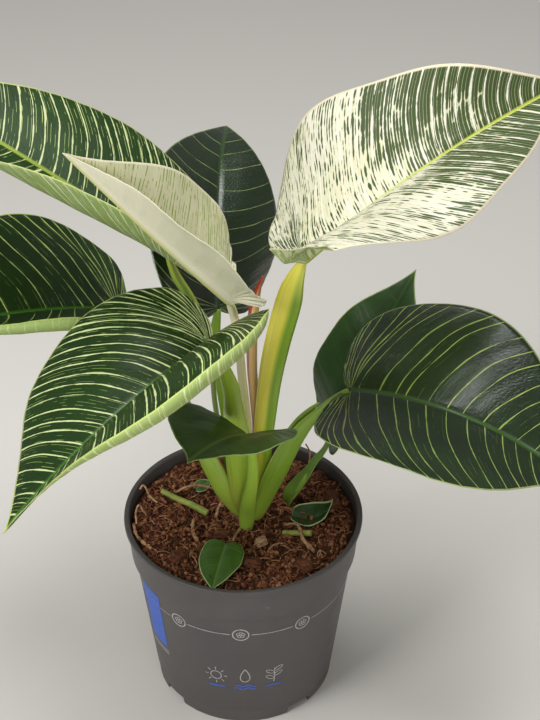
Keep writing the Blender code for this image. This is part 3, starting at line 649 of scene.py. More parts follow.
        # Slow clouds of a second green
        place = add(JOIN_XYZ, [along, across, shift])
        drift = add(VECTOR_MATH, [place, (5.0, 2.0, 1.0)], operation="MULTIPLY")
        cloud = add(NOISE, {"Vector": drift, "Scale": 1.0, "Detail": 3.0})
        cloud = add(RANGE, [cloud, 0.35, 0.7, 0.0, self.clouds])

        # Layers of colour, from the ground up, with the midrib and the margin on top
        rib = add(RANGE, [rib_far, self.rib_half * 1.5, self.rib_half * 0.4],
                  interpolation_type="SMOOTHSTEP")
        edge = add(RANGE, [edge_far, self.margin_width * 1.3, self.margin_width * 0.6],
                   interpolation_type="SMOOTHSTEP")
        if upper:
            ground = self.ground
            layers = [(cloud, self.ground_second), (halo, self.dash_edge), (dash, self.dash),
                      (line, self.line)]
        else:
            ground = self.under
            layers = [(cloud, self.under), (dash, self.under_line), (line, self.under_line)]
        colour = lay_colours(tree, ground, [*layers, (rib, self.rib), (edge, self.margin)])

        # Cell rows along the veins break up the gloss
        fine = add(VECTOR_MATH, [place, (210.0, 26.0, 1.0)], operation="MULTIPLY")
        cell = add(NOISE, {"Vector": fine, "Scale": 1.0, "Detail": 2.0})
        bump = add(BUMP, {"Height": cell, "Strength": self.streak_bump, "Distance": 0.5 * MM})
        fill_inputs(shader, {
            "Coat Weight": self.coat if upper else 0.0, "Coat Roughness": 0.22, "Subsurface Weight": 0.06,
            "Subsurface Radius": (0.6 * MM, 1.0 * MM, 0.3 * MM), "Subsurface Scale": 1.0,
            "Base Color": colour, "Normal": bump})
        return material


@dataclass(frozen=True)
class TurnedEdge:
    """A part of a leaf's margin that is turned up, so that the paler underside shows.

    It runs between two places along the margin, each eased in over a distance. The hinge is the place
    across the half from which the blade bends, and the angle is what it bends by.
    """

    left: bool
    start: float
    end: float
    ease: tuple[float, float]
    hinge: float
    angle: float
    radius: float = 1.6

    LEAST_SHARE = 1e-3
    LEAST_REACH = 0.3  # mm

    def bend(self, centre: np.ndarray, normal: np.ndarray, u: np.ndarray, v: np.ndarray) -> None:
        """Bend the grid's points and normals in place.

        Args:
            centre: the leaf's points, by rows along the margin and columns across.
            normal: their upward normals.
            u: each point's place along the margin.
            v: each point's place across the blade.
        """
        sign = 1 if self.left else -1
        columns = [j for j in range(u.shape[1]) if v[0, j] * sign > self.hinge]
        columns.sort(key=lambda j: abs(v[0, j]))
        hinge = columns[0] - sign
        for i in range(u.shape[0]):
            place = u[i, 0]
            share = smooth_step(self.start, self.start + self.ease[0], place)
            share = share * (1 - smooth_step(self.end - self.ease[1], self.end, place))
            if share < self.LEAST_SHARE:
                continue
            full = math.radians(self.angle) * float(share)
            base = centre[i, hinge].copy()
            up = normal[i, hinge].copy()
            out = centre[i, columns[-1]] - base
            out = out - up * np.dot(out, up)
            if np.linalg.norm(out) < self.LEAST_REACH:
                continue
            out /= np.linalg.norm(out)
            for j in columns:
                far = np.linalg.norm(centre[i, j] - base)
                turn = min(far / self.radius, full)
                rest = far - self.radius * turn
                centre[i, j] = (base + out * (self.radius * math.sin(turn) + rest * math.cos(turn))
                                + up * (self.radius * (1 - math.cos(turn)) + rest * math.sin(turn)))
                normal[i, j] = up * math.cos(turn) - out * math.sin(turn)


@dataclass(frozen=True)
class Leaf:
    """A leaf blade with real thickness: a keeled midrib below, a groove above and shallow side veins."""

    node: str
    slot: str
    blade: Blade
    finish: LeafFinish
    steps_along: int = 168
    steps_across: int = 26
    thickness: float = 0.55
    keel_depth: float = 2.2
    keel_half: float = 1.7
    groove: float = 0.45
    vein_count: float = 15.0
    vein_depth: float = 0.16
    ripple: float = 0.5
    turned: tuple[TurnedEdge, ...] = ()
    ruffle: float = 0.0

    LEAST_SPREAD = 14.0  # mm for one unit along the margin, so that stripes stay thin where veins crowd
    FULL_KEEL_FROM = 120.0  # mm, the length from which a blade has its full keel

    def relief(self, u: np.ndarray, x: np.ndarray, y: np.ndarray, left: np.ndarray) -> np.ndarray:
        """How far the surface lies above its smooth shape.

        Args:
            u: each point's place along the margin.
            x: its place along the midrib.
            y: its distance from the midrib.
            left: whether it is on the left half.

        Returns:
            The height of veins, ripples and crinkles over the smooth shape.
        """
        away = smooth_step(1, 9, y)
        turn = 2 * np.pi * self.vein_count * u + np.where(left, 0.0, 2.0) + 1.3 * np.sin(7 * u)
        veins = -self.vein_depth * (0.5 + 0.5 * np.cos(turn)) ** 3 * away
        length = self.blade.length
        slow = np.sin(9.1 * x / length + 5.3 * y / length + np.where(left, 0.4, 2.9))
        slow = slow * np.sin(13.7 * y / length - 4.1 * x / length + 1.1) * self.ripple * away
        crinkle = self.ruffle * np.sin(130 * u) * (1 - smooth_step(0.12, 0.34, u)) * smooth_step(0, 14, y)
        return veins + slow + crinkle - self.groove * np.exp(-(y / 1.4) ** 2)

    def spread(self, u: np.ndarray, x: np.ndarray, y: np.ndarray) -> np.ndarray:
        """How far apart side veins lie.

        Args:
            u: each point's place along the margin.
            x: its place along the midrib.
            y: its distance from the midrib.

        Returns:
            Millimetres square to the vein for one unit of u.
        """
        run_x, run_y = np.gradient(x, u[:, 0], axis=0), np.gradient(y, u[:, 0], axis=0)
        out_x, out_y = np.gradient(x, axis=1), np.gradient(y, axis=1)
        spread = np.abs(run_x * out_y - run_y * out_x) / np.maximum(np.hypot(out_x, out_y), 1e-6)
        return np.maximum(spread, self.LEAST_SPREAD)

    def build(self) -> bpy.types.Object:
        """Build the blade as a closed shell and dress both faces.

        Returns:
            The finished piece.
        """
        blade = self.blade
        s = np.linspace(-1, 1, 2 * self.steps_across + 1)
        v = np.sign(s) * np.abs(s) ** 1.35
        u, v = np.meshgrid(np.linspace(0, 1, self.steps_along + 1), v, indexing="ij")
        x, y, vein = blade.flat(u, v)
        left = v >= 0
        normal = blade.normals(x, y, left)
        centre = blade.place(x, y, left) + normal * self.relief(u, x, y, left)[..., None]
        for edge in self.turned:
            edge.bend(centre, normal, u, v)
        along = np.clip(x / blade.length, 0, 1)
        margin = (1 - np.abs(v)) * vein
        thin = self.thickness * (0.45 + 0.55 * smooth_step(0, 2.5, margin))
        scale = min(1.0, blade.length / self.FULL_KEEL_FROM)
        keel = self.keel_depth * scale * (1 - along) ** 1.2 + 0.15
        keel = keel * np.exp(-(y / (self.keel_half * scale * (1.05 - along) + 0.3)) ** 2)
        keel = keel * smooth_step(-0.5, 2.0, margin)
        upper = centre + normal * (thin / 2)[..., None]
        lower = centre - normal * (thin / 2 + keel)[..., None]

        rows, columns = u.shape
        down = rows * columns
        index = np.arange(down).reshape(rows, columns)
        quads = np.stack([index[:-1, :-1], index[1:, :-1], index[1:, 1:], index[:-1, 1:]], -1).reshape(-1, 4)
        rims = [np.stack([line[:-1], line[:-1] + down, line[1:] + down, line[1:]], -1)
                for line in (index[:, 0], index[::-1, -1], index[0, ::-1], index[-1, :])]
        faces = np.vstack([quads, quads[:, ::-1] + down, *rims])
        slots = np.zeros(len(faces), np.int32)
        slots[len(quads):2 * len(quads)] = 1

        points = np.vstack([upper.reshape(-1, 3), lower.reshape(-1, 3)])
        mesh = new_mesh(f"leaf_{self.node}", points, faces.tolist())
        mesh.polygons.foreach_set("material_index", slots)
        flat_uv = np.tile(np.stack([u.ravel(), (v.ravel() + 1) / 2], -1), (2, 1))
        corners = np.empty(len(mesh.loops), np.int32)
        mesh.loops.foreach_get("vertex_index", corners)
        layer = mesh.uv_layers.new(name="veins")
        layer.uv.foreach_set("vector", flat_uv[corners].astype(np.float32).ravel())
        for name, values in (("rib_mm", y), ("margin_mm", margin), ("spread_mm", self.spread(u, x, y)),
                             ("vein_mm", np.abs(v) * vein)):
            store = mesh.attributes.new(name, "FLOAT", "POINT")
            store.data.foreach_set("value", np.tile(values.ravel(), 2).astype(np.float32))
        tidy_mesh(mesh)
        materials = [self.finish.material(Face.UPPER), self.finish.material(Face.LOWER)]
        return add_piece(f"leaf_{self.node.replace('blade_', '')}", mesh, materials, self.node)


@dataclass(frozen=True)
class StalkFinish:
    """Firm green stalk tissue with a smooth skin: a satin sheen, fine lengthwise fibres, tinted sides.

    Turn is the place round the stalk, 0 to 1, where the second colour is centred. Its inner side is at
    0.25 and its outer side at 0.75.
    """

    name: str
    colour: str
    second: str
    turn: float
    spread: float
    foot: str
    top: str
    edge: str = ""
    edge_width: float = 0.02
    streaks: float = 0.35
    rough: float = 0.38

    def material(self) -> bpy.types.Material:
        """Build the stalk's material on its own round-and-along coordinates."""
        material, shader = new_material(self.name, self.rough)
        tree = material.node_tree
        add = partial(add_node, tree)
        uv = add("ShaderNodeUVMap", uv_map="stalk")
        parts = add(SPLIT_XYZ, [uv])
        turn, along = parts.outputs[0], parts.outputs[1]

        # The second colour on its side, and the colours of the foot and the top
        away = add(MATH, [turn, self.turn], operation="SUBTRACT")
        away = add(MATH, [away, 0.5, -0.5], operation="WRAP")
        away = add(MATH, [away], operation="ABSOLUTE")
        share = add(RANGE, [away, self.spread * 1.25, self.spread * 0.75], interpolation_type="SMOOTHSTEP")
        low = add(RANGE, [along, 0.32, 0.0])
        high = add(RANGE, [along, 0.86, 1.0])
        colour = lay_colours(tree, self.colour, [(share, self.second), (low, self.foot), (high, self.top)])

        # Darker fibres that run along the stalk
        angle = add(MATH, [turn, 2 * math.pi], operation="MULTIPLY")
        cosine = add(MATH, [angle], operation="COSINE")
        sine = add(MATH, [angle], operation="SINE")
        place = add(JOIN_XYZ, [cosine, sine, along])
        fibre = add(VECTOR_MATH, [place, (5.0, 5.0, 3.0)], operation="MULTIPLY")
        fibre = add(NOISE, {"Vector": fibre, "Scale": 1.0, "Detail": 4.0})
        darker = add(RANGE, [fibre, 0.5, 0.75, 0.0, self.streaks])
        colour = lay_colours(tree, colour, [(darker, "#8FA070")], "MULTIPLY")
        if self.edge:
            rim = add(MATH, [sine], operation="ABSOLUTE")
            rim = add(RANGE, [rim, self.edge_width * 9, self.edge_width * 3],
                      interpolation_type="SMOOTHSTEP")
            colour = lay_colours(tree, colour, [(rim, self.edge)])

        ribs = add(VECTOR_MATH, [place, (16.0, 16.0, 7.0)], operation="MULTIPLY")
        ribs = add(NOISE, {"Vector": ribs, "Scale": 1.0, "Detail": 2.0})
        bump = add(BUMP, {"Height": ribs, "Strength": 0.35, "Distance": 0.3 * MM})
        fill_inputs(shader, {
            "Coat Weight": 0.12, "Coat Roughness": 0.25, "Subsurface Weight": 0.12,
            "Subsurface Radius": (1.6 * MM, 1.8 * MM, 0.6 * MM), "Subsurface Scale": 1.0,
            "Base Color": colour, "Normal": bump})
        return material


@dataclass(frozen=True)
class Stalk:
    """A leaf stalk: stations of x, y, z and width, round outside, grooved or sheathed on its inner side."""

    node: str
    slot: str
    stations: tuple[tuple[float, float, float, float], ...]
    facing: tuple[float, float, float]
    depth: float
    finish: StalkFinish
    groove: tuple[float, float] = (0.25, 0.05)
    base: tuple[float, float, float] | None = None
    joint: float = 3.4
    sides: int = 48
    per_span: int = 12
    seam: float = 0.0
    flatness: float = 0.45

    def build(self) -> bpy.types.Object:
        """Loft the stalk through its stations and dress it.

        Returns:
            The finished piece.
        """
        stations = list(self.stations)
        if self.base:
            stations.append((*self.base, self.joint))
        rows = smooth_route(stations, self.per_span)
        centres = rows[:, :3]
        tangents = np.gradient(centres, axis=0)
        tangents /= np.linalg.norm(tangents, axis=1, keepdims=True)
        sides = np.cross(np.array(self.facing, float), tangents)
        sides /= np.linalg.norm(sides, axis=1, keepdims=True)
        ups = np.cross(tangents, sides)
        run = np.concatenate([[0], np.cumsum(np.linalg.norm(np.diff(centres, axis=0), axis=1))])
        run /= run[-1]
        angles = round_angles(self.sides)
        points = []
        for centre, width, side, up, share in zip(centres, rows[:, 3], sides, ups, run):
            depth = width * self.depth
            out = np.sin(angles) * depth / 2
            cut = self.groove[0] + (self.groove[1] - self.groove[0]) * share
            inner = out * self.flatness - cut * depth * np.clip(np.sin(angles), 0, 1) ** 2
            out = np.where(out > 0, inner, out)
            reach = np.cos(angles) * width / 2
            if self.seam:
                lift = self.seam * np.exp(-((angles - 1.1) / 0.25) ** 2) * (1 - share) ** 0.3
                out = out + lift
            points.append(centre + np.outer(reach, side) + np.outer(out, up))
        rings = len(points)
        points = np.vstack(points)
        last = (rings - 1) * self.sides
        faces = wall_faces(rings, self.sides)
        faces += [list(range(self.sides))[::-1], list(range(last, last + self.sides))]
        mesh = new_mesh(self.node, points, faces)
        turn = np.arange(self.sides) / self.sides
        step = 1 / self.sides
        spots = []
        for low, high in zip(run, run[1:]):
            for t in turn:
                spots += [(t, low), (t + step, low), (t + step, high), (t, high)]
        spots += [(t, run[0]) for t in turn[::-1]] + [(t, run[-1]) for t in turn]
        layer = mesh.uv_layers.new(name="stalk")
        layer.uv.foreach_set("vector", np.array(spots, np.float32).ravel())
        bm = bmesh.new()
        bm.from_mesh(mesh)
        if bm.calc_volume(signed=True) < 0:
            bmesh.ops.reverse_faces(bm, faces=bm.faces)
        bm.to_mesh(mesh)
        bm.free()
        return add_piece(self.node.replace("petiole_", "stalk_"), mesh, [self.finish.material()],
                         self.node)


def round_corners(profile: list[tuple[float, float, float]], steps: int = 4) -> np.ndarray:
    """Round the corners of a profile.

    Args:
        profile: rows of radius, height and the corner's rounding.
        steps: segments in each rounded corner.

    Returns:
        Rows of radius and height.
    """
    rows = np.array(profile, float)
    out = [rows[0, :2]]
    for before, here, after in zip(rows, rows[1:], rows[2:]):
        back = before[:2] - here[:2]
        ahead = after[:2] - here[:2]
        reach = min(here[2], 0.45 * np.linalg.norm(back), 0.45 * np.linalg.norm(ahead))
        if reach < LEAST_ROUNDING:
            out.append(here[:2])
            continue
        start = here[:2] + back / np.linalg.norm(back) * reach
        end = here[:2] + ahead / np.linalg.norm(ahead) * reach
        for t in np.linspace(0, 1, steps + 1):
            out.append((1 - t) ** 2 * start + 2 * t * (1 - t) * here[:2] + t * t * end)
    out.append(rows[-1, :2])
    return np.array(out)


def turned_mesh(name: str, profile: np.ndarray, steps: int) -> bpy.types.Mesh:
    """Turn a profile about the Z axis.

    Args:
        name: the mesh's name.
        profile: rows of radius and height, which start and end on the axis.
        steps: points round the axis.

    Returns:
        The closed mesh.
    """
    angles = round_angles(steps)
    inner = profile[1:-1]
    ring = np.stack([np.outer(inner[:, 0], np.cos(angles)), np.outer(inner[:, 0], np.sin(angles)),
                     np.outer(inner[:, 1], np.ones(steps))], -1).reshape(-1, 3)
    points = np.vstack([ring, [0, 0, profile[0, 1]], [0, 0, profile[-1, 1]]])
    first, last = len(ring), len(ring) + 1
    below = (len(inner) - 1) * steps
    faces = wall_faces(len(inner), steps)
    faces += [[first, (i + 1) % steps, i] for i in range(steps)]
    faces += [[last, below + i, below + (i + 1) % steps] for i in range(steps)]
    return tidy_mesh(new_mesh(name, points, faces))


@dataclass(frozen=True)
class MouldedPlastic:
    """Recycled polypropylene, injection moulded with a fine matt grain: a soft sheen, dusty at its foot."""

    name: str = "recycled_polypropylene"
    colour: str = "#4B4748"
    dusty: str = "#5D5856"
    speck: str = "#A9A5A2"
    rough: float = 0.46
    grain: float = 0.5  # mm, the mould's grain, drawn coarser than real so that it shows

    def material(self) -> bpy.types.Material:
        """Build the plastic's material."""
        material, shader = new_material(self.name, self.rough)
        tree = material.node_tree
        add = partial(add_node, tree)
        place = add("ShaderNodeTexCoord").outputs["Object"]
        parts = add(SPLIT_XYZ, [place])
        dust = add(NOISE, {"Vector": place, "Scale": 45.0, "Detail": 5.0, "Roughness": 0.6})
        dust = add(RANGE, [dust, 0.42, 0.75, 0.0, 0.55])
        low = add(RANGE, [parts.outputs[2], 30 * MM, 0.0, 0.0, 0.4])
        dust = add(MATH, [dust, low], operation="ADD")
        specks = add("ShaderNodeTexVoronoi", {"Vector": place, "Scale": 160.0, "Randomness": 1.0})
        speck = add(RANGE, [specks.outputs["Distance"], 0.07, 0.04])
        pick = add(SPLIT_XYZ, [specks.outputs["Color"]])
        pick = add(MATH, [pick, 0.93], operation="GREATER_THAN")
        speck = add(MATH, [speck, pick], operation="MULTIPLY")
        colour = lay_colours(tree, self.colour, [(dust, self.dusty), (speck, self.speck)])
        sheen = add(RANGE, [dust, 0.0, 0.7, self.rough - 0.05, self.rough + 0.12])
        grain = add(NOISE, {"Vector": place, "Scale": 1 / (self.grain * MM), "Detail": 2.0})
        bump = add(BUMP, {"Height": grain, "Strength": 0.12, "Distance": 0.2 * MM})
        fill_inputs(shader, {"Base Color": colour, "Roughness": sheen, "Normal": bump})
        return material


@dataclass(frozen=True)
class Ink:
    """Screen-printed ink on plastic: flat and matt, a little worn."""

    name: str
    colour: str
    worn: str = "#595556"

    def material(self) -> bpy.types.Material:
        """Build the ink's material, thinned here and there to the grey below."""
        material, shader = new_material(self.name, 0.55)
        tree = material.node_tree
        add = partial(add_node, tree)
        place = add("ShaderNodeTexCoord").outputs["Object"]
        wear = add(NOISE, {"Vector": place, "Scale": 700.0, "Detail": 3.0})
        wear = add(RANGE, [wear, 0.5, 0.8, 0.0, 0.7])
        fill_inputs(shader, {"Base Color": lay_colours(tree, self.colour, [(wear, self.worn)])})
        return material


@dataclass(frozen=True)
class NurseryPot:
    """The round nursery pot: rim, collar, tapered wall, raised drainage channel and foot notches."""

    height: float = 104.0
    rim_radius: float = 60.0
    lip_depth: float = 2.4
    collar_top: float = 58.4
    collar_bottom: float = 57.0
    collar_height: float = 83.0
    wall_top: float = 55.4
    foot_radius: float = 45.6
    wall: float = 1.4
    channel_outer: float = 42.0
    channel_inner: float = 31.0
    channel_height: float = 6.0
    channel_slope: float = 2.0
    notch_angles: tuple[float, ...] = (-52.0, 38.0, 128.0, 218.0)
    notch_width: float = 15.0
    notch_height: float = 4.5
    drain_holes: int = 8
    drain_radius: float = 3.0
    sharp_from: float = 38.0
    steps: int = 160

    def wall_radius(self, height: float) -> float:
        """The outer wall's radius at a height below the collar."""
        return self.foot_radius + (self.wall_top - self.foot_radius) * height / self.collar_height

    def inner_radius(self, height: float) -> float:
        """The inner wall's radius.

        Args:
            height: the height it is wanted at.

        Returns:
            The radius in millimetres.
        """
        if height >= self.collar_height:
            share = (height - self.collar_height) / (self.height - self.collar_height)
            return self.collar_bottom + (self.collar_top - self.collar_bottom) * share - self.wall
        return self.wall_radius(height) - self.wall

    def profile(self) -> np.ndarray:
        """The pot's turned profile, from the middle of its floor over the rim and back under the foot."""
        roof = self.channel_height + self.wall
        step = self.collar_height - self.wall
        ring = 9.0
        rows = [
            (0, self.wall, 0), (self.channel_inner - self.channel_slope, self.wall, 1),
            (self.channel_inner, roof, 1), (self.inner_radius(roof), roof, 1),
            (self.inner_radius(step), step, 1),
            (self.inner_radius(self.collar_height) - 0.1, self.collar_height + 0.6, 1),
            (self.collar_top - self.wall, self.height - 1, 0.6), (self.collar_top - 0.8, self.height, 0.4),
            (self.rim_radius - 0.2, self.height, 0.7), (self.rim_radius, self.height - self.lip_depth, 0.8),
            (self.collar_top + 0.1, self.height - self.lip_depth - 0.5, 0.5),
            (self.collar_bottom, self.collar_height, 0.7),
            (self.wall_radius(self.collar_height - 0.9), self.collar_height - 0.9, 0.8),
            (self.wall_radius(ring), ring, 0), (self.wall_radius(ring) - 0.35, ring - 0.5, 0.2),
            (self.foot_radius + 0.1, 0.8, 0.3), (self.foot_radius - 0.4, 0, 0.2),
            (self.foot_radius - self.wall, 0, 0.2), (self.channel_outer, self.channel_height, 1),
            (self.channel_inner + 0.8, self.channel_height, 1),
            (self.channel_inner - self.channel_slope + 0.8, 0, 0.3), (0, 0, 0),
        ]
        return round_corners(rows)

    def cutters(self) -> bpy.types.Object:
        """One object of all that is cut from the pot: the foot notches and the drain holes."""
        bm = bmesh.new()
        for angle in self.notch_angles:
            turn = math.radians(angle)
            made = bmesh.ops.create_cube(bm, size=1)["verts"]
            for vert in made:
                x = vert.co.x * 10 + self.foot_radius
                y = vert.co.y * self.notch_width * (0.88 if vert.co.z > 0 else 1.12)
                vert.co = (
                    (x * math.cos(turn) - y * math.sin(turn)) * MM,
                    (x * math.sin(turn) + y * math.cos(turn)) * MM,
                    vert.co.z * 2 * self.notch_height * MM,
                )
        reach = (self.channel_inner + self.channel_outer) / 2
        for i in range(self.drain_holes):
            turn = math.radians(22.5 + 360 / self.drain_holes * i)
            made = bmesh.ops.create_cone(bm, cap_ends=True, segments=24, radius1=self.drain_radius * MM,
                                         radius2=self.drain_radius * MM, depth=10 * MM)["verts"]
            for vert in made:
                vert.co.x += reach * math.cos(turn) * MM
                vert.co.y += reach * math.sin(turn) * MM
                vert.co.z += self.channel_height * MM
        return add_object("pot_cutters", finished_mesh("pot_cutters", bm))

    def build(self) -> bpy.types.Object:
        """Turn the pot, cut its openings and dress it.

        Returns:
            The finished piece.
        """
        cutter = self.cutters()
        blank = add_object("pot_blank", turned_mesh("nursery_pot", self.profile(), self.steps))
        cut = blank.modifiers.new("cut", "BOOLEAN")
        cut.operation = "DIFFERENCE"
        cut.solver = "EXACT"
        cut.object = cutter
        mesh = plain_mesh(blank, "nursery_pot")
        bpy.data.objects.remove(cutter)
        obj = add_piece("nursery_pot", mesh, [MouldedPlastic().material()], "pot")
        mesh.set_sharp_from_angle(angle=math.radians(self.sharp_from))
        return obj


@dataclass(frozen=True)
class PotPrint:
    """A generic print round the pot: a thin line with beads, care signs, and a plain blue panel.

    Angles are in degrees from the front, and heights are above the table.
    """

    pot: NurseryPot
    line_height: float = 70.5
    line_half: float = 0.22
    bead_angles: tuple[float, ...] = (-36.0, -1.0, 33.0, 78.0, 128.0, 178.0, 228.0)
    bead_radius: float = 4.0
    layer: float = 0.06

    def on_wall(self, angle: float, height: float, lift: float) -> tuple[float, float, float]:
        """A place on the wall, a little proud of it.

        Args:
            angle: degrees from the front.
            height: millimetres above the table.
            lift: how far out of the wall it is.

        Returns:
            The place in metres.
        """
        radius = self.pot.wall_radius(height) + lift
        turn = math.radians(angle)
        return (radius * math.sin(turn) * MM, -radius * math.cos(turn) * MM, height * MM)

    def ribbon(self, bm: bmesh.types.BMesh, points: list[tuple[float, float]], half: float,
               closed: bool) -> None:
        """Lay a flat strip of ink along a route on the wall.

        Args:
            bm: the mesh that gets the strip.
            points: places as millimetres round the wall and height.
            half: half of the strip's width.
            closed: whether the route is a loop.
        """
        route = np.array(points, float)
        if closed:
            ahead = np.roll(route, -1, axis=0) - np.roll(route, 1, axis=0)
        else:
            ahead = np.gradient(route, axis=0)
        ahead /= np.linalg.norm(ahead, axis=1, keepdims=True)
        out = np.stack([-ahead[:, 1], ahead[:, 0]], -1) * half
        rings = []
        for place, step in zip(route, out):
            ring = []
            for sign, lift in ((1, 0.0), (1, 1.0), (-1, 1.0), (-1, 0.0)):
                spot = place + step * sign
                angle = math.degrees(spot[0] / self.pot.wall_radius(self.line_height))
                ring.append(bm.verts.new(self.on_wall(angle, spot[1], 0.02 + self.layer * lift)))
            rings.append(ring)
        join_rings(bm, rings, closed)
        if not closed:
            bm.faces.new(rings[0][::-1])
            bm.faces.new(rings[-1])

    def patch(self, bm: bmesh.types.BMesh, corners: tuple[float, float, float, float], columns: int) -> None:
        """Lay a filled panel of ink.

        Args:
            bm: the mesh that gets the panel.
            corners: two places round the wall and two heights.
            columns: how many flat strips it is made of.
        """
        left, right, low, high = corners
        edges = np.linspace(left, right, columns + 1)
        for a, b in zip(edges, edges[1:]):
            middle = (low + high) / 2
            self.ribbon(bm, [(a, middle), (b, middle)], (high - low) / 2, False)

    def circle(self, x: float, z: float, radius: float, count: int = 28) -> list[tuple[float, float]]:
        """A ring of places round a centre."""
        return [(x + radius * math.cos(t), z + radius * math.sin(t)) for t in round_angles(count)]

    def piece(self, name: str, bm: bmesh.types.BMesh, ink: Ink) -> bpy.types.Object:
        """Close one colour's ink into a piece.

        Args:
            name: the piece's name.
            bm: the shapes printed in that ink.
            ink: the ink.

        Returns:
            The piece.
        """
        mesh = tidy_mesh(finished_mesh(name, bm), weld=0.001)
        obj = add_piece(name, mesh, [ink.material()])
        mesh.shade_flat()
        return obj

    def round_mm(self, angle: float) -> float:
        """Degrees from the front as millimetres round the wall."""
        return math.radians(angle) * self.pot.wall_radius(self.line_height)

    def build(self) -> list[bpy.types.Object]:
        """Print both inks.

        Returns:
            The pale print and the blue print.
        """
        pale = bmesh.new()
        blue = bmesh.new()
        height = self.line_height
        ends = list(self.bead_angles) + [self.bead_angles[0] + 360]
        gap = math.degrees((self.bead_radius + 1.4) / self.pot.wall_radius(height))
        for a, b in zip(ends, ends[1:]):
            count = max(4, int((b - a) / 3))
            route = [(self.round_mm(t), height) for t in np.linspace(a + gap, b - gap, count)]
            self.ribbon(pale, route, self.line_half, False)
        for angle in self.bead_angles:
            x = self.round_mm(angle)
            self.ribbon(pale, self.circle(x, height, self.bead_radius), 0.3, True)
            for turn in range(5):
                t = math.pi / 2 + turn * 2 * math.pi / 5
                petal = self.circle(x + 1.35 * math.cos(t), height + 1.35 * math.sin(t), 0.85, 12)
                self.ribbon(pale, petal, 0.18, True)
        self.care_signs(pale, blue)
        self.panel(pale, blue)
        return [self.piece("pot_print_pale", pale, Ink("pale_screen_ink", "#B7B2B0")),
                self.piece("pot_print_blue", blue, Ink("blue_screen_ink", "#3E66C8"))]

    def care_signs(self, pale: bmesh.types.BMesh, blue: bmesh.types.BMesh) -> None:
        """Three small signs in a row: a sun, a drop over a wave, and a sprig."""
        low = 37.0
        sun, drop, sprig = -15.0, 1.0, 17.0
        self.ribbon(pale, self.circle(sun, low, 3.0), 0.25, True)
        for turn in range(8):
            t = turn * math.pi / 4
            ray = [(sun + r * math.cos(t), low + r * math.sin(t)) for r in (4.3, 5.2, 6.2)]
            self.ribbon(pale, ray, 0.25, False)
        turns = np.linspace(0, 2 * np.pi, 28, endpoint=False)
        shape = [(drop + 3.4 * math.sin(t) * math.sin(t / 2), low + 1.2 + 5.0 * math.cos(t)) for t in turns]
        self.ribbon(pale, shape, 0.25, True)
        for k in range(2):
            wave = [(drop - 6 + 12 * s, low - 7.0 - 2.2 * k + 0.7 * math.sin(12 * s))
                    for s in np.linspace(0, 1, 24)]
            self.ribbon(blue, wave, 0.4, False)
        self.ribbon(pale, [(sprig, low - 6), (sprig + 0.3, low - 1), (sprig, low + 5)], 0.25, False)
        for side, base in ((-1, -3.2), (1, -1.0), (-1, 1.2), (1, 3.0)):
            leaf = []
            for t in np.linspace(0, 2 * np.pi, 18, endpoint=False):
                reach = 2.6 * (1 - math.cos(t))
                lift = 1.1 * math.sin(t)
                leaf.append((sprig + side * (reach * 0.86 - lift * 0.5),
                             low + base + reach * 0.5 + lift * 0.86))
            self.ribbon(pale, leaf, 0.2, True)
        for x in (sun, sprig):
            base = [(x - 4.5 + 9 * s, low - 8.4) for s in np.linspace(0, 1, 8)]
            self.ribbon(blue, base, 0.5, False)

    def panel(self, pale: bmesh.types.BMesh, blue: bmesh.types.BMesh) -> None:
        """A plain blue panel on the left, with two pale rules beside it."""
        left, right = self.round_mm(-67), self.round_mm(-50)
        self.patch(blue, (left, right, 40, 78), 8)
        for offset in (3.0, 5.0):
            rule = [(x, 40 - offset) for x in np.linspace(left, right, 8)]
            self.ribbon(pale, rule, 0.3, False)


@dataclass(frozen=True)
class PottingMix:
    """Fine composted bark and coir: dull, crumbly, reddish brown, with pale fibres."""

    name: str
    dark: str
    middle: str
    pale: str
    rough: float = 0.92

    def material(self) -> bpy.types.Material:
        """Build the mix's material, with a tone that each crumb keeps to itself."""
        material, shader = new_material(self.name, self.rough, 0.25)
        tree = material.node_tree
        add = partial(add_node, tree)
        place = add("ShaderNodeTexCoord").outputs["Object"]
        tone = add("ShaderNodeAttribute", attribute_name="tone").outputs["Fac"]
        grain = add(NOISE, {"Vector": place, "Scale": 900.0, "Detail": 4.0, "Roughness": 0.65})
        share = add(MATH, [grain, 0.8, -0.4], operation="MULTIPLY_ADD")
        share = add(MATH, [tone, share], operation="ADD")
        low = add(RANGE, [share, 0.0, 0.55])
        high = add(RANGE, [share, 0.62, 1.05])
        colour = lay_colours(tree, self.dark, [(low, self.middle), (high, self.pale)])
        bump = add(BUMP, {"Height": grain, "Strength": 0.6, "Distance": 0.4 * MM})
        fill_inputs(shader, {"Base Color": colour, "Normal": bump})
        return material


def soil_height(x: np.ndarray | float, y: np.ndarray | float) -> np.ndarray | float:
    """The height of the dished soil at a place on it, low round the plant's crown."""
    return np.interp(np.hypot(x, y), Soil.dish, (Soil.middle, Soil.top))


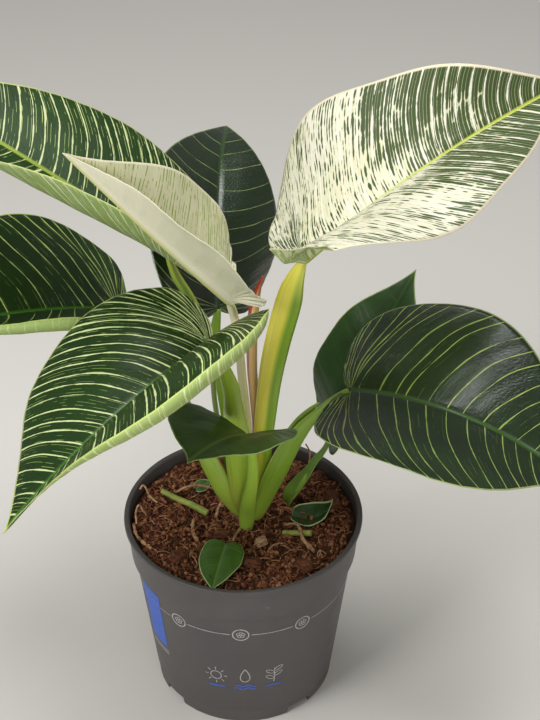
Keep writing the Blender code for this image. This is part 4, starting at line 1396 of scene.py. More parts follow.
@dataclass(frozen=True)
class Soil:
    """The plug of potting mix: a lumpy top strewn with crumbs and fibres."""

    pot: NurseryPot
    middle: float = 94.0
    top: float = 99.0
    dish: tuple[float, float] = (20.0, 46.0)
    gap: float = 0.3
    rings: int = 46
    spokes: int = 150
    crumbs: float = 240000.0  # pieces in a square metre
    crumb_length: float = 3.1
    fibres: float = 95000.0
    fibre_length: float = 7.5
    seed: int = 11

    def height(self, x: np.ndarray, y: np.ndarray) -> np.ndarray:
        """The lumpy top's height above the soil's top level.

        Args:
            x: places to the right.
            y: places to the back.

        Returns:
            The height in millimetres.
        """
        r = np.hypot(x, y)
        lumps = (1.1 * np.sin(0.21 * x + 1.0) * np.sin(0.19 * y + 0.4) + 0.8 * np.sin(0.47 * x - 0.31 * y)
                 + 0.5 * np.sin(0.83 * x + 0.71 * y + 2.0) + 0.35 * np.sin(1.7 * x - 1.3 * y + 0.7))
        sink = 1.2 * smooth_step(48, 55, r)
        return 0.7 * lumps - sink - 0.4 + soil_height(x, y) - self.top

    def surface(self, inset: float = 0.0) -> tuple[np.ndarray, list]:
        """Points in millimetres and faces of the lumpy top, from its middle to the pot's wall.

        Args:
            inset: how far from the pot's wall it ends.

        Returns:
            The points and the faces.
        """
        reach = self.pot.inner_radius(self.top) - self.gap - inset
        radii = np.linspace(0, reach, self.rings + 1)[1:]
        angles = round_angles(self.spokes)
        x = np.outer(radii, np.cos(angles))
        y = np.outer(radii, np.sin(angles))
        z = self.top + self.height(x, y)
        points = np.vstack([np.stack([x, y, z], -1).reshape(-1, 3), [0, 0, self.middle]])
        faces = [[a, d, c, b] for a, b, c, d in wall_faces(self.rings, self.spokes)]
        middle = len(points) - 1
        faces += [[middle, i, (i + 1) % self.spokes] for i in range(self.spokes)]
        return points, faces

    def body(self) -> bpy.types.Mesh:
        """The closed plug under the lumpy top."""
        points, faces = self.surface()
        pot = self.pot
        roof = pot.channel_height + pot.wall + self.gap
        below = pot.collar_height - pot.wall - 2
        floor = [
            (pot.inner_radius(self.top) - self.gap, self.top - 6),
            (pot.inner_radius(below) - self.gap, below),
            (pot.inner_radius(roof) - self.gap, roof), (pot.channel_inner, roof),
            (pot.channel_inner - pot.channel_slope - self.gap, pot.wall + self.gap),
        ]
        angles = round_angles(self.spokes)
        last = list(range((self.rings - 1) * self.spokes, self.rings * self.spokes))
        rows = [points]
        count = len(points)
        for radius, height in floor:
            level = np.full(self.spokes, height)
            rows.append(np.stack([radius * np.cos(angles), radius * np.sin(angles), level], -1))
            ring = list(range(count, count + self.spokes))
            count += self.spokes
            faces += [[last[i], ring[i], ring[(i + 1) % self.spokes], last[(i + 1) % self.spokes]]
                      for i in range(self.spokes)]
            last = ring
        rows.append(np.array([[0, 0, pot.wall + self.gap]]))
        faces += [[count, last[(i + 1) % self.spokes], last[i]] for i in range(self.spokes)]
        mesh = tidy_mesh(new_mesh("soil_plug", np.vstack(rows), faces))
        # The plug keeps a low tone, so the soil seen between the crumbs is dark: painted shade in the gaps
        # between crumbs.
        tone = mesh.attributes.new("tone", "FLOAT", "POINT")
        tone.data.foreach_set("value", np.full(len(mesh.vertices), 0.12, np.float32))
        return mesh

    def carrier(self, inset: float) -> bpy.types.Object:
        """A bare copy of the top for the small pieces to land on, clear of the wall."""
        return add_object("soil_top", new_mesh("soil_top", *self.surface(inset)))

    def strewn(self, name: str, shapes: "Scatter", material: bpy.types.Material) -> bpy.types.Object:
        """Strew one kind of small piece over the top, and keep it as a plain mesh.

        Args:
            name: the piece's name.
            shapes: what is strewn and how.
            material: its material.

        Returns:
            The finished piece.
        """
        carrier = self.carrier(0.62 * shapes.length)
        modifier = carrier.modifiers.new("strewn", "NODES")
        tree, sockets = shapes.tree(name, material)
        modifier.node_group = tree
        modifier[sockets["Pieces per square metre"]] = shapes.density
        modifier[sockets["Length"]] = shapes.length * MM
        modifier[sockets["Seed"]] = shapes.seed
        return add_piece(name, plain_mesh(carrier, name), [material])

    def build(self) -> list[bpy.types.Object]:
        """Build the plug, its crumbs and its fibres.

        Returns:
            The three finished pieces.
        """
        crumbly = PottingMix("composted_bark", "#2A1610", "#7C4A33", "#B4815C")
        fibrous = PottingMix("coir_fibre", "#4A2A1C", "#97603F", "#CDA07A")
        plug = add_piece("soil_plug", self.body(), [crumbly.material()], "soil")
        crumb = Scatter(Scattered.CRUMB, self.crumbs, self.crumb_length, self.seed)
        fibre = Scatter(Scattered.FIBRE, self.fibres, self.fibre_length, self.seed + 5)
        return [plug, self.strewn("soil_crumbs", crumb, crumbly.material()),
                self.strewn("soil_fibres", fibre, fibrous.material())]


class Scattered(Enum):
    """What is strewn on the soil."""

    CRUMB = "crumb"
    FIBRE = "fibre"


@dataclass(frozen=True)
class Scatter:
    """Small pieces strewn on a surface with Geometry Nodes."""

    kind: Scattered
    density: float
    length: float
    seed: int
    variants: int = 4

    def shape(self, tree: bpy.types.NodeTree, length: bpy.types.NodeSocket, variant: int) -> bpy.types.Node:
        """One shape of a crumb or a fibre.

        Args:
            tree: the tree that gets the nodes.
            length: the socket that gives the piece's length.
            variant: the shape's number.

        Returns:
            The node with the shape's geometry.
        """
        add = partial(add_node, tree)
        if self.kind is Scattered.CRUMB:
            block = add("GeometryNodeMeshCube", {
                "Size": (1.0, 0.62, 0.5), "Vertices X": 4, "Vertices Y": 3, "Vertices Z": 3})
            place = add("GeometryNodeInputPosition")
            noise = {"Vector": place, "Scale": 2.1, "W": 3.7 * variant, "Detail": 1.0}
            noise = add(NOISE, noise, noise_dimensions="4D").outputs["Color"]
            shift = add(VECTOR_MATH, [noise, (0.5, 0.5, 0.5)], operation="SUBTRACT")
            shift = add(VECTOR_MATH, {0: shift, "Scale": 1.1}, operation="SCALE")
            moved = add("GeometryNodeSetPosition", {"Geometry": block, "Offset": shift})
        else:
            bend = (0.35, -0.5, 0.22, -0.28)[variant]
            lift = (0.2, 0.35, 0.5, 0.12)[variant]
            arc = add("GeometryNodeCurveQuadraticBezier", {
                "Resolution": 7, "Start": (-0.5, 0, -0.05), "Middle": (0.0, bend, lift),
                "End": (0.5, 0, 0.02)})
            ring = {"Resolution": 4, "Radius": 0.032}
            ring = add("GeometryNodeCurvePrimitiveCircle", ring, mode="RADIUS")
            moved = add("GeometryNodeCurveToMesh", {"Curve": arc, "Profile Curve": ring, "Fill Caps": True})
        size = add(JOIN_XYZ, [length, length, length])
        return add("GeometryNodeTransform", {"Geometry": moved, "Scale": size})

    def tree(self, name: str, material: bpy.types.Material) -> tuple[bpy.types.NodeTree, dict[str, str]]:
        """Build the Geometry Nodes tree.

        Args:
            name: the tree's name.
            material: what the small pieces are made of.

        Returns:
            The tree, and the identifier of each named input.
        """
        tree = bpy.data.node_groups.new(name, "GeometryNodeTree")
        add = partial(add_node, tree)
        face = tree.interface
        face.new_socket(name="Geometry", in_out="INPUT", socket_type="NodeSocketGeometry")
        sockets = {}
        for label, kind in (("Pieces per square metre", "NodeSocketFloat"), ("Length", "NodeSocketFloat"),
                            ("Seed", "NodeSocketInt")):
            sockets[label] = face.new_socket(name=label, in_out="INPUT", socket_type=kind).identifier
        face.new_socket(name="Geometry", in_out="OUTPUT", socket_type="NodeSocketGeometry")
        start = add("NodeGroupInput")
        seed = start.outputs["Seed"]
        spread = add("GeometryNodeDistributePointsOnFaces", {
            "Mesh": start.outputs["Geometry"], "Density": start.outputs["Pieces per square metre"],
            "Seed": seed})
        shapes = add("GeometryNodeJoinGeometry")
        for variant in range(self.variants):
            shape = self.shape(tree, start.outputs["Length"], variant)
            fill_inputs(shapes, [add("GeometryNodeGeometryToInstance", [shape])])
        crumb = self.kind is Scattered.CRUMB
        tilt = math.pi if crumb else 0.5
        low = (0.35, 0.35, 0.35) if crumb else (0.4, 0.4, 0.6)
        high = (1.25, 1.1, 1.0) if crumb else (1.4, 1.5, 1.3)
        turn = add("FunctionNodeRandomValue", {
            0: (-tilt, -tilt, 0.0), 1: (tilt, tilt, 2 * math.pi), "Seed": seed}, data_type="FLOAT_VECTOR")
        size = add("FunctionNodeRandomValue", {0: low, 1: high, "Seed": seed}, data_type="FLOAT_VECTOR")
        placed = add("GeometryNodeInstanceOnPoints", {
            "Points": spread, "Instance": shapes, "Pick Instance": True, "Rotation": turn, "Scale": size})
        tone = add("FunctionNodeRandomValue", {2: 0.05, 3: 0.95, "Seed": seed}, data_type="FLOAT")
        stored = add("GeometryNodeStoreNamedAttribute", {
            "Geometry": placed, "Name": "tone", "Value": tone},
            data_type="FLOAT", domain="INSTANCE")
        real = add("GeometryNodeRealizeInstances", [stored])
        dressed = add("GeometryNodeSetMaterial", {"Geometry": real, "Material": material})
        add("NodeGroupOutput", [dressed])
        return tree, sockets


@dataclass(frozen=True)
class DryMatter:
    """Dry roots, twigs, bark and cut stalks: dull, lengthwise grain, darker in the hollows."""

    name: str
    colour: str
    dark: str
    stretch: tuple[float, float, float] = (300.0, 300.0, 300.0)
    rough: float = 0.8

    def material(self) -> bpy.types.Material:
        """Build the material on object coordinates."""
        material, shader = new_material(self.name, self.rough, 0.3)
        tree = material.node_tree
        add = partial(add_node, tree)
        place = add("ShaderNodeTexCoord").outputs["Object"]
        spot = add(VECTOR_MATH, [place, self.stretch], operation="MULTIPLY")
        grain = add(NOISE, {"Vector": spot, "Scale": 1.0, "Detail": 5.0, "Roughness": 0.65})
        share = add(RANGE, [grain, 0.36, 0.66])
        bump = add(BUMP, {"Height": grain, "Strength": 0.6, "Distance": 0.35 * MM})
        colour = lay_colours(tree, self.dark, [(share, self.colour)])
        fill_inputs(shader, {"Base Color": colour, "Normal": bump})
        return material


@dataclass(frozen=True)
class LyingTube:
    """A root, twig or cut stalk on the soil: a route of x, y and height above the soil, and two radii."""

    node: str
    slot: str
    route: tuple[tuple[float, float, float], ...]
    radii: tuple[float, float]
    finish: DryMatter
    cut_finish: DryMatter | None = None
    lift: float = 0.4
    knots: float = 0.12
    sides: int = 14
    per_span: int = 10
    sharp_from: float = 50.0

    def build(self) -> bpy.types.Object:
        """Loft the tube with small knots along it, and dress it.

        Returns:
            The finished piece.
        """
        route = [(x, y, soil_height(x, y) + self.lift + z) for x, y, z in self.route]
        rows = smooth_route(route, self.per_span)
        tangents = np.gradient(rows, axis=0)
        tangents /= np.linalg.norm(tangents, axis=1, keepdims=True)
        side = np.cross(tangents[0], (0.3, 0.2, 1.0))
        share = np.linspace(0, 1, len(rows))
        angles = round_angles(self.sides)
        bm = bmesh.new()
        rings = []
        for centre, tangent, t in zip(rows, tangents, share):
            side = side - tangent * np.dot(side, tangent)
            side /= np.linalg.norm(side)
            up = np.cross(tangent, side)
            radius = self.radii[0] + (self.radii[1] - self.radii[0]) * t
            radius *= 1 + self.knots * (math.sin(31 * t) + 0.6 * math.sin(53 * t + 1))
            lumps = 1 + 0.5 * self.knots * np.sin(3 * angles + 9 * t)
            spots = centre + np.outer(np.cos(angles) * lumps * radius, side)
            spots = spots + np.outer(np.sin(angles) * lumps * radius, up)
            rings.append([bm.verts.new(spot * MM) for spot in spots])
        join_rings(bm, rings)
        caps = []
        for ring, flip, into in ((rings[0], True, tangents[0]), (rings[-1], False, -tangents[-1])):
            middle = sum((np.array(v.co) for v in ring), np.zeros(3)) / len(ring)
            centre = bm.verts.new(middle + into * 0.25 * self.radii[0] * MM)
            for i in range(self.sides):
                j = (i + 1) % self.sides
                corners = (ring[j], ring[i], centre) if flip else (ring[i], ring[j], centre)
                caps.append(bm.faces.new(corners))
        materials = [self.finish.material()]
        if self.cut_finish:
            materials.append(self.cut_finish.material())
            for face in caps:
                face.material_index = 1
        bmesh.ops.recalc_face_normals(bm, faces=bm.faces)
        mesh = finished_mesh(self.node, bm)
        obj = add_piece(f"dry_{self.node}", mesh, materials, self.node)
        mesh.set_sharp_from_angle(angle=math.radians(self.sharp_from))
        return obj


@dataclass(frozen=True)
class Chunk:
    """A piece of bark or chip: split along its grain into uneven layers, with ragged ends."""

    node: str
    slot: str
    place: tuple[float, float]
    size: tuple[float, float, float]
    turn: float
    finish: DryMatter
    lift: float = 0.3
    taper: float = 0.74
    cuts: int = 13

    def build(self) -> bpy.types.Object:
        """Build the chunk from a cut-up block whose faces are split and worn, and dress it.

        Returns:
            The finished piece.
        """
        bm = bmesh.new()
        bmesh.ops.create_cube(bm, size=1)
        bmesh.ops.subdivide_edges(bm, edges=bm.edges[:], cuts=self.cuts, use_grid_fill=True)
        length, width, height = self.size
        angle = math.radians(self.turn)
        seed = self.place[0] * 0.37 + self.place[1] * 0.71
        for vert in bm.verts:
            x, y, z = vert.co * 2
            # A rounded block
            worn = 1 / max(1.0, (abs(x) ** 5 + abs(y) ** 5 + abs(z) ** 5) ** 0.2)
            x, y, z = x * worn, y * worn, z * worn
            slim = 1 - (1 - self.taper) * (z + 1) / 2
            layer = 0.10 * math.sin(7 * z + 2 * x + seed) + 0.06 * math.sin(17 * z + 5 * y + 2 * seed)
            split = 0.07 * math.sin(11 * y + 1.5 * x + 3 * seed) + 0.04 * math.sin(23 * y + 4 * x)
            ragged = 0.08 * math.sin(9 * y + 6 * z + seed)
            local_x = length / 2 * (x * slim * (0.93 + ragged))
            local_y = width / 2 * (y * slim * (0.9 + layer))
            local_z = height * ((z + 1) / 2 * (0.93 + split * abs(z)) + 0.02)
            own_x = self.place[0] + local_x * math.cos(angle) - local_y * math.sin(angle)
            own_y = self.place[1] + local_x * math.sin(angle) + local_y * math.cos(angle)
            vert.co = (own_x * MM, own_y * MM, (soil_height(own_x, own_y) + self.lift + local_z) * MM)
        bmesh.ops.recalc_face_normals(bm, faces=bm.faces)
        mesh = finished_mesh(self.node, bm)
        return add_piece(f"chunk_{self.node}", mesh, [self.finish.material()], self.node)


# Leaf finishes. Pale parts lack green, dark parts are full of it, and the stripes are where they meet.
# The colours are those of the ground, its clouds, lines, dashes, the dashes' edges, the midrib, the margin,
# the underside and the underside's lines.
CREAM_FLECKED = LeafFinish(
    "cream_flecked_leaf", "#DAD6C2", "#D0D0A4", "#E2DFCD", "#213A0E", "#95A83A", "#BDC75A", "#DDD3B6",
    "#D3D9AE", "#8FA659", lines=42, line_mm=1.2, breaks=0.4, rows=150, row_mm=0.42, dash_mm=6.5, cover=0.54,
    strength=0.92, edge_strength=0.7, banding=0.5, crowding=0.36, waver_mm=0.8, clouds=0.6, rib_half=0.9,
    margin_width=1.2, rough=0.45, coat=0.05, full_from=0.62, full_to=1.0, seed=3.0)
CREAM_NEW = LeafFinish(
    "new_cream_leaf", "#DDDBBC", "#CDCDA4", "#E4E1C4", "#88A02C", "#B3BF60", "#D6D48E", "#E8E4C6",
    "#EBE7CC", "#DEDBB0", lines=14, line_mm=0.8, breaks=0.7, rows=84, row_mm=0.5, dash_mm=6.0, cover=0.52,
    strength=0.85, edge_strength=0.7, banding=0.4, crowding=0.1, clouds=0.6, rib_half=1.0, margin_width=0.9,
    rough=0.34, coat=0.3, shine=0.5, bare_left=True, seed=9.0)
PINSTRIPED = LeafFinish(
    "pinstriped_leaf", "#1B350C", "#284A14", "#CBD49D", "#A9BA74", "#466E24", "#8CA038", "#C5CE8A",
    "#93A962", "#D2DAB0", lines=40, line_mm=0.95, breaks=0.2, rows=120, row_mm=0.3, dash_mm=11.0,
    cover=0.46, strength=0.8, banding=0.12, rib_half=1.1, margin_width=0.8, rough=0.46, coat=0.0,
    shine=0.25, seed=5.0)
STRIPED = LeafFinish(
    "striped_leaf", "#152D07", "#213F0E", "#CAD69A", "#8FA95C", "#355A18", "#3F6B1C", "#BCCB74", "#A0B468",
    "#CCD69E", lines=34, line_mm=0.9, breaks=0.15, rows=110, row_mm=0.26, dash_mm=11.0, cover=0.42,
    strength=0.75, banding=0.16, rib_half=1.5, margin_width=0.7, rough=0.38, coat=0.12, seed=1.0)
THIN_STRIPED = LeafFinish(
    "thin_striped_leaf", "#142B08", "#1F3E0F", "#AFC06E", "#6F8E45", "#2B4D16", "#3C6A1E", "#A9BB62",
    "#93A860", "#B9C68C", lines=26, line_mm=0.7, breaks=0.25, rows=84, row_mm=0.22, dash_mm=11.0,
    cover=0.34, strength=0.6, banding=0.1, clouds=0.6, rib_half=1.4, margin_width=0.6, rough=0.38,
    coat=0.12, seed=7.0)
GLOSSY_STRIPED = LeafFinish(
    "glossy_striped_leaf", "#122606", "#1D3A0B", "#A3B75A", "#5F7E36", "#244212", "#37591D", "#A7B671",
    "#7F9C58", "#9DB26F", lines=25, line_mm=0.62, breaks=0.1, rows=80, row_mm=0.22, dash_mm=11.0,
    cover=0.28, strength=0.5, banding=0.1, clouds=0.7, rib_half=1.2, margin_width=0.7, rough=0.27, coat=0.5,
    shine=0.5, streak_bump=0.6, seed=13.0)
DARK_GLOSSY = LeafFinish(
    "dark_glossy_leaf", "#0F1E07", "#162E0A", "#748A4E", "#385626", "#1A340C", "#264316", "#6F8A45",
    "#5D7C41", "#7F985E", lines=17, line_mm=0.5, breaks=0.2, rows=50, row_mm=0.25, dash_mm=10.0, cover=0.2,
    strength=0.4, clouds=0.7, rib_half=1.0, margin_width=0.5, rough=0.28, coat=0.5, shine=0.5,
    streak_bump=0.45, seed=17.0)
PLAIN_DULL = LeafFinish(
    "plain_dull_leaf", "#2C4812", "#40601D", "#4B692A", "#405E24", "#37551C", "#5F7F32", "#8FA45F",
    "#6C8A44", "#759152", lines=9, line_mm=0.4, breaks=0.5, rows=30, row_mm=0.3, dash_mm=6.0, cover=0.3,
    strength=0.4, clouds=0.9, rib_half=0.9, margin_width=0.6, rough=0.42, coat=0.15, shine=0.4,
    streak_bump=0.6, seed=19.0)
PLAIN_GREEN = LeafFinish(
    "plain_green_leaf", "#203D0F", "#2C5017", "#365A22", "#2F501B", "#294917", "#32551F", "#8E9C52",
    "#5F7E3E", "#6A884A", lines=10, line_mm=0.4, breaks=0.5, rows=30, row_mm=0.3, dash_mm=6.0, cover=0.3,
    strength=0.4, clouds=0.8, rib_half=0.8, margin_width=0.5, rough=0.45, coat=0.1, seed=23.0)
FALLEN = LeafFinish(
    "fallen_leaf", "#35591C", "#4A6E2A", "#58783F", "#44662A", "#3D6024", "#5B7D3C", "#A8B884", "#6C8A50",
    "#78955A", lines=7, line_mm=0.35, breaks=0.4, rows=20, row_mm=0.3, dash_mm=4.0, cover=0.3, strength=0.4,
    clouds=0.9, rib_half=0.5, margin_width=0.5, rough=0.36, coat=0.3, seed=29.0)
FALLEN_DARK = LeafFinish(
    "fallen_dark_leaf", "#1E380E", "#2A4818", "#3D5D28", "#2F4E1C", "#284616", "#3A5A26", "#B3BF8C",
    "#5F7E45", "#6A8850", lines=5, line_mm=0.35, breaks=0.4, rows=16, row_mm=0.3, dash_mm=4.0, cover=0.3,
    strength=0.4, clouds=0.8, rib_half=0.4, margin_width=0.9, rough=0.4, coat=0.2, seed=31.0)

LEAVES = (
    Leaf("blade_right_high", "leaf_cream", Blade(
        base=(29, -7, 259), length=150, half_width=57, heading=22, sweep=9, rise=(34, 11), roll=(-26, 11),
        fold_left=(14, 56), fold_right=(34, 7), curl=(16, -55), lobe=10, widest=0.22, tip=0.18, wave=-3.8,
        wave_phase=69), CREAM_FLECKED,
        turned=(TurnedEdge(False, -0.2, 0.30, (0.1, 0.24), 0.70, 100, 3.0),)),
    Leaf("blade_left_high", "leaf_pinstripe", Blade(
        base=(-35, 22, 246), length=160, half_width=51, heading=167, sweep=-11, rise=(32, 20), roll=(0, -9),
        fold_left=(10, -7), fold_right=(18, 17), curl=(71, -15), lobe=22, widest=0.24, tip=0.24, wave=-1.1,
        wave_phase=-46), PINSTRIPED),
    Leaf("blade_new", "leaf_new", Blade(
        base=(-5, -21, 246), length=103, half_width=35, heading=186, sweep=1, rise=(47, 51), roll=(3, 1),
        fold_left=(55, 58), fold_right=(3, 91), curl=(-39, 25), lobe=7, widest=0.22, tip=0.12, wave=-1.4,
        wave_phase=34), CREAM_NEW, ruffle=1.5),
    Leaf("blade_back", "leaf_dark", Blade(
        base=(-12, 42, 199), length=116, half_width=38, heading=92, sweep=-7, rise=(64, -10), roll=(32, 19),
        fold_left=(18, 3), fold_right=(-3, 20), curl=(-22, -34), lobe=5, lobe_droop=(0, 1), widest=0.34,
        tip=0.15, wave=-1.9, wave_phase=-69), DARK_GLOSSY),
    Leaf("blade_left_low", "leaf_thin_stripe", Blade(
        base=(-62, 48, 194), length=122, half_width=55, heading=202, sweep=3, rise=(17, -8), roll=(1, -5),
        fold_left=(21, 30), fold_right=(11, 40), curl=(-6, 17), lobe=9, widest=0.33, tip=0.23, wave=-1.0,
        wave_phase=-29), THIN_STRIPED,
        turned=(TurnedEdge(True, 0.15, 0.98, (0.12, 0.2), 0.92, 110, 1.2),)),
    Leaf("blade_front", "leaf_striped", Blade(
        base=(-14, -27, 226), length=129, half_width=57, heading=231, sweep=-9, rise=(1, -32),
        roll=(22, 29), fold_left=(37, 24), fold_right=(43, 13), curl=(-56, -22), lobe=13,
        lobe_droop=(6, -26), widest=0.33, tip=0.17, wave=-0.6, wave_phase=29), STRIPED,
        turned=(TurnedEdge(True, 0.14, 0.98, (0.2, 0.4), 0.915, 115, 1.0),)),
    Leaf("blade_small", "leaf_small", Blade(
        base=(2, -32, 178), length=51, half_width=31, heading=238, sweep=1, rise=(33, 5), roll=(5, 3),
        fold_left=(20, 3), fold_right=(17, 5), curl=(-5, -1), lobe=7, lobe_droop=(-19, 21), widest=0.30,
        tip=0.20, wave=-0.4, wave_phase=-23), PLAIN_DULL),
    Leaf("blade_right_low", "leaf_glossy", Blade(
        base=(52, 0, 180), length=129, half_width=54, heading=-22, sweep=9, rise=(11, -46), roll=(14, 22),
        fold_left=(7, 23), fold_right=(5, 10), curl=(3, 26), lobe=8, lobe_droop=(16, -25), widest=0.32,
        tip=0.28, wave=-0.8, wave_phase=-46), GLOSSY_STRIPED),
    Leaf("blade_back_low", "leaf_plain", Blade(
        base=(46, 22, 141), length=90, half_width=31, heading=43, sweep=13, rise=(59, 29), roll=(-30, 10),
        fold_left=(7, 11), fold_right=(15, 8), curl=(-4, -11), lobe=11, widest=0.26, tip=0.21, wave=1.4,
        wave_phase=-74), PLAIN_GREEN),
    Leaf("small_soil_leaf", "leaf_fallen", Blade(
        base=(-8.5, -18, 98), length=36, half_width=10.8, heading=261, sweep=0, rise=(9, 1), roll=(-4, 4),
        fold_left=(8, 8), fold_right=(8, 8), curl=(-10, -10), lobe=1.5,
        widest=0.36, tip=0.0), FALLEN, 48, 12, keel_depth=1.2),
    Leaf("curled_leaf", "leaf_fallen_dark", Blade(
        base=(25, 3, 98.5), length=27, half_width=8, heading=-8, sweep=10, rise=(-28, 90), roll=(0, 0),
        fold_left=(35, 20), fold_right=(5, 5), curl=(20, 15), lobe=1,
        widest=0.40, tip=0.10), FALLEN_DARK, 48, 12, keel_depth=1.0),
    Leaf("leaf_scrap", "leaf_fallen", Blade(
        base=(-24.5, 23.5, 99), length=9, half_width=3.5, heading=30, sweep=0, rise=(10, 0), roll=(20, 20),
        fold_left=(10, 10), fold_right=(10, 10), curl=(-20, -20), lobe=1,
        widest=0.40, tip=0.10), FALLEN, 32, 8, keel_depth=1.0),
)

# Stalk finishes
YELLOW_STALK = StalkFinish("yellow_stalk", "#8CB034", "#EFE552", 0.15, 0.17, "#C6CC44", "#E4E066")
OLIVE_STALK = StalkFinish("olive_stalk", "#A9B83A", "#6E8B28", 0.0, 0.2, "#8DAA35", "#A9B548")
CREAM_STALK = StalkFinish("cream_stalk", "#E0D9A8", "#C58A4C", 0.0, 0.12, "#D9C48C", "#E4DFB4", streaks=0.2)
LIME_STALK = StalkFinish("lime_stalk", "#B8CC42", "#A6C240", 0.75, 0.25, "#C2CC54", "#C2D062")
GREEN_STALK = StalkFinish("green_stalk", "#8CB238", "#86A834", 0.75, 0.25, "#A8C244", "#8CB03C",
                          edge="#B9BE62")
CLASPING_STALK = StalkFinish("clasping_stalk", "#A0C044", "#9ABA3E", 0.75, 0.25, "#B4CA50", "#86AA3A",
                             edge="#8A4A35")
BRIGHT_STALK = StalkFinish("bright_stalk", "#8CB436", "#A2C444", 0.75, 0.2, "#9CC044", "#98AE44")
DEEP_STALK = StalkFinish("deep_stalk", "#6C9230", "#86A83A", 0.75, 0.2, "#7C9E38", "#5C862E", edge="#98B458")
SPEAR_SKIN = StalkFinish("spear_skin", "#E2BC86", "#B04A30", 0.28, 0.16, "#DEC8A8", "#B5402C", streaks=0.25)

STALKS = (
    Stalk("petiole_small", "stalk_small",
          ((1, -1, 88, 5), (2, -4, 105, 8.5), (3, -11, 121, 7.4), (5, -19, 140, 5.8), (5, -27, 162, 4.3)),
          (0, 1, 0.3), 0.6, BRIGHT_STALK, (0.3, 0.1), (2, -31.6, 176.9)),
    Stalk("petiole_right_low", "stalk_right_low",
          ((7, 5, 95, 6), (9, 4, 104, 10), (13, 3, 118, 13), (18, 2, 133, 14.8), (23, 2, 145, 13.7),
           (30, 1, 158, 10.7), (38, 0, 169, 6.2), (44, 0, 175, 5.3)),
          (-0.5, 0.8, 0.3), 0.6, GREEN_STALK, (0.2, 0.05), (51.2, 0, 179.4), joint=7.0),
    Stalk("petiole_left_low", "stalk_left_low",
          ((-2, 6, 96, 5), (-5, 6, 102, 9), (-9, 6, 112, 13.6), (-13, 9, 121, 15), (-17, 12, 129, 14.4),
           (-26, 22, 148, 9.8), (-39, 34, 173, 5.8), (-49, 43, 190, 4.3)),
          (0.5, 0.8, 0.3), 0.6, CLASPING_STALK, (0.2, 0.05), (-61.2, 47.8, 193.6)),
    Stalk("petiole_front", "stalk_front",
          ((0, 4, 101, 4), (-1, 0, 114, 10), (0, -4, 130, 14.8), (-1, -7, 146, 14.6), (-3, -11, 167, 11.4),
           (-4, -16, 186, 8.5), (-5, -18, 196, 7.9), (-9, -23, 213, 5.5)),
          (0, 1, 0.2), 0.8, LIME_STALK, (0.35, 0.1), (-13.6, -26.7, 225)),
    Stalk("petiole_right_high", "stalk_right_high",
          ((9, 11, 100, 5), (8, 8, 116, 10), (9, 6, 135, 11.9), (10, 4, 152, 12.2), (13, 1, 185, 13.3),
           (17, -1, 210, 14), (22, -4, 234, 13.7), (25, -6, 247, 9)),
          (-0.7, -0.7, 0), 0.7, YELLOW_STALK, (0.0, 0.0), (28.6, -7, 257.8)),
    Stalk("petiole_new", "stalk_new",
          ((2, 10, 105, 4), (2, 10, 116, 6), (2, 6, 151, 6), (0, -2, 187, 5.7), (-1, -8, 208, 5.6),
           (-2, -13, 224, 5.6), (-4, -18, 238, 5.9)),
          (-0.5, -0.5, 0.5), 0.8, CREAM_STALK, (0.1, 0.0), (-5, -20.6, 244.8)),
    Stalk("petiole_left_high", "stalk_left_high",
          ((-2, 13, 96, 4), (-7, 14, 119, 5), (-10, 14, 139, 5), (-13, 14, 163, 5), (-14, 14, 193, 5.8),
           (-18, 15, 209, 6.2), (-23, 16, 221, 6.6), (-29, 18, 231, 7), (-32, 20, 237, 5.6)),
          (0.7, 0, 0.7), 0.8, OLIVE_STALK, (0.15, 0.0), (-34.7, 21.8, 244.8)),
    Stalk("petiole_back", "stalk_back",
          ((1, 15, 96, 4), (-3, 21, 113, 6), (-8, 29, 139, 6), (-12, 36, 166, 6), (-14, 39, 181, 6.3)),
          (0.3, -1, 0), 0.8, GREEN_STALK, (0.15, 0.05), (-12.2, 41.6, 197.8)),
    Stalk("petiole_back_low", "stalk_back_low",
          ((21, 16, 86, 5.2), (22, 16, 99, 9.2), (27, 17, 107, 9.2), (32, 18, 114, 6.6), (36, 19, 121, 5.1),
           (41, 20, 128, 4)),
          (-0.7, -0.3, 0.6), 0.55, DEEP_STALK, (0.5, 0.05), (45.7, 21.8, 140)),
    Stalk("spear", "spear",
          ((4, 14, 103, 3), (5, 15, 119, 5), (6, 14, 143, 6.9), (5, 13, 165, 8.8), (4, 12, 183, 9.6),
           (4, 11, 202, 10), (5, 10, 218, 9.4), (7, 9, 229, 6), (10, 8, 239, 1.4)),
          (-1, 0, 0), 0.7, SPEAR_SKIN, (0.0, 0.0), None, seam=0.5),
    Stalk("sheath_right", "sheath",
          ((22, 1, 153, 3), (28, 1, 161, 4.4), (33, 0, 168, 3), (37, -1, 173, 1)),
          (0, 1, 0), 0.3, GREEN_STALK, (0.3, 0.0)),
    Stalk("sheath_back", "sheath", ((27, 12, 106, 2.6), (30, 13, 112, 2.8), (32, 14, 117, 1)),
          (0, 1, 0), 0.4, DEEP_STALK, (0.2, 0.0)),
)

# Things on the soil
ROOT_SKIN = DryMatter("dry_root_skin", "#C9A27E", "#835A3F", (500.0, 500.0, 500.0))
TWIG_SKIN = DryMatter("peeled_twig", "#C29871", "#7A5236", (500.0, 500.0, 500.0))
CUT_GREEN = DryMatter("cut_green_stalk", "#A9AC58", "#7F9040", (160.0, 160.0, 160.0), 0.5)
CUT_END = DryMatter("dried_cut_end", "#CDB97C", "#7D5A33", (900.0, 900.0, 900.0))
BARK_SKIN = DryMatter("pine_bark", "#7D4B33", "#341C12", (260.0, 700.0, 1500.0), 0.9)
CHIP_SKIN = DryMatter("pale_wood_chip", "#C9A885", "#8A6244", (400.0, 900.0, 900.0), 0.85)

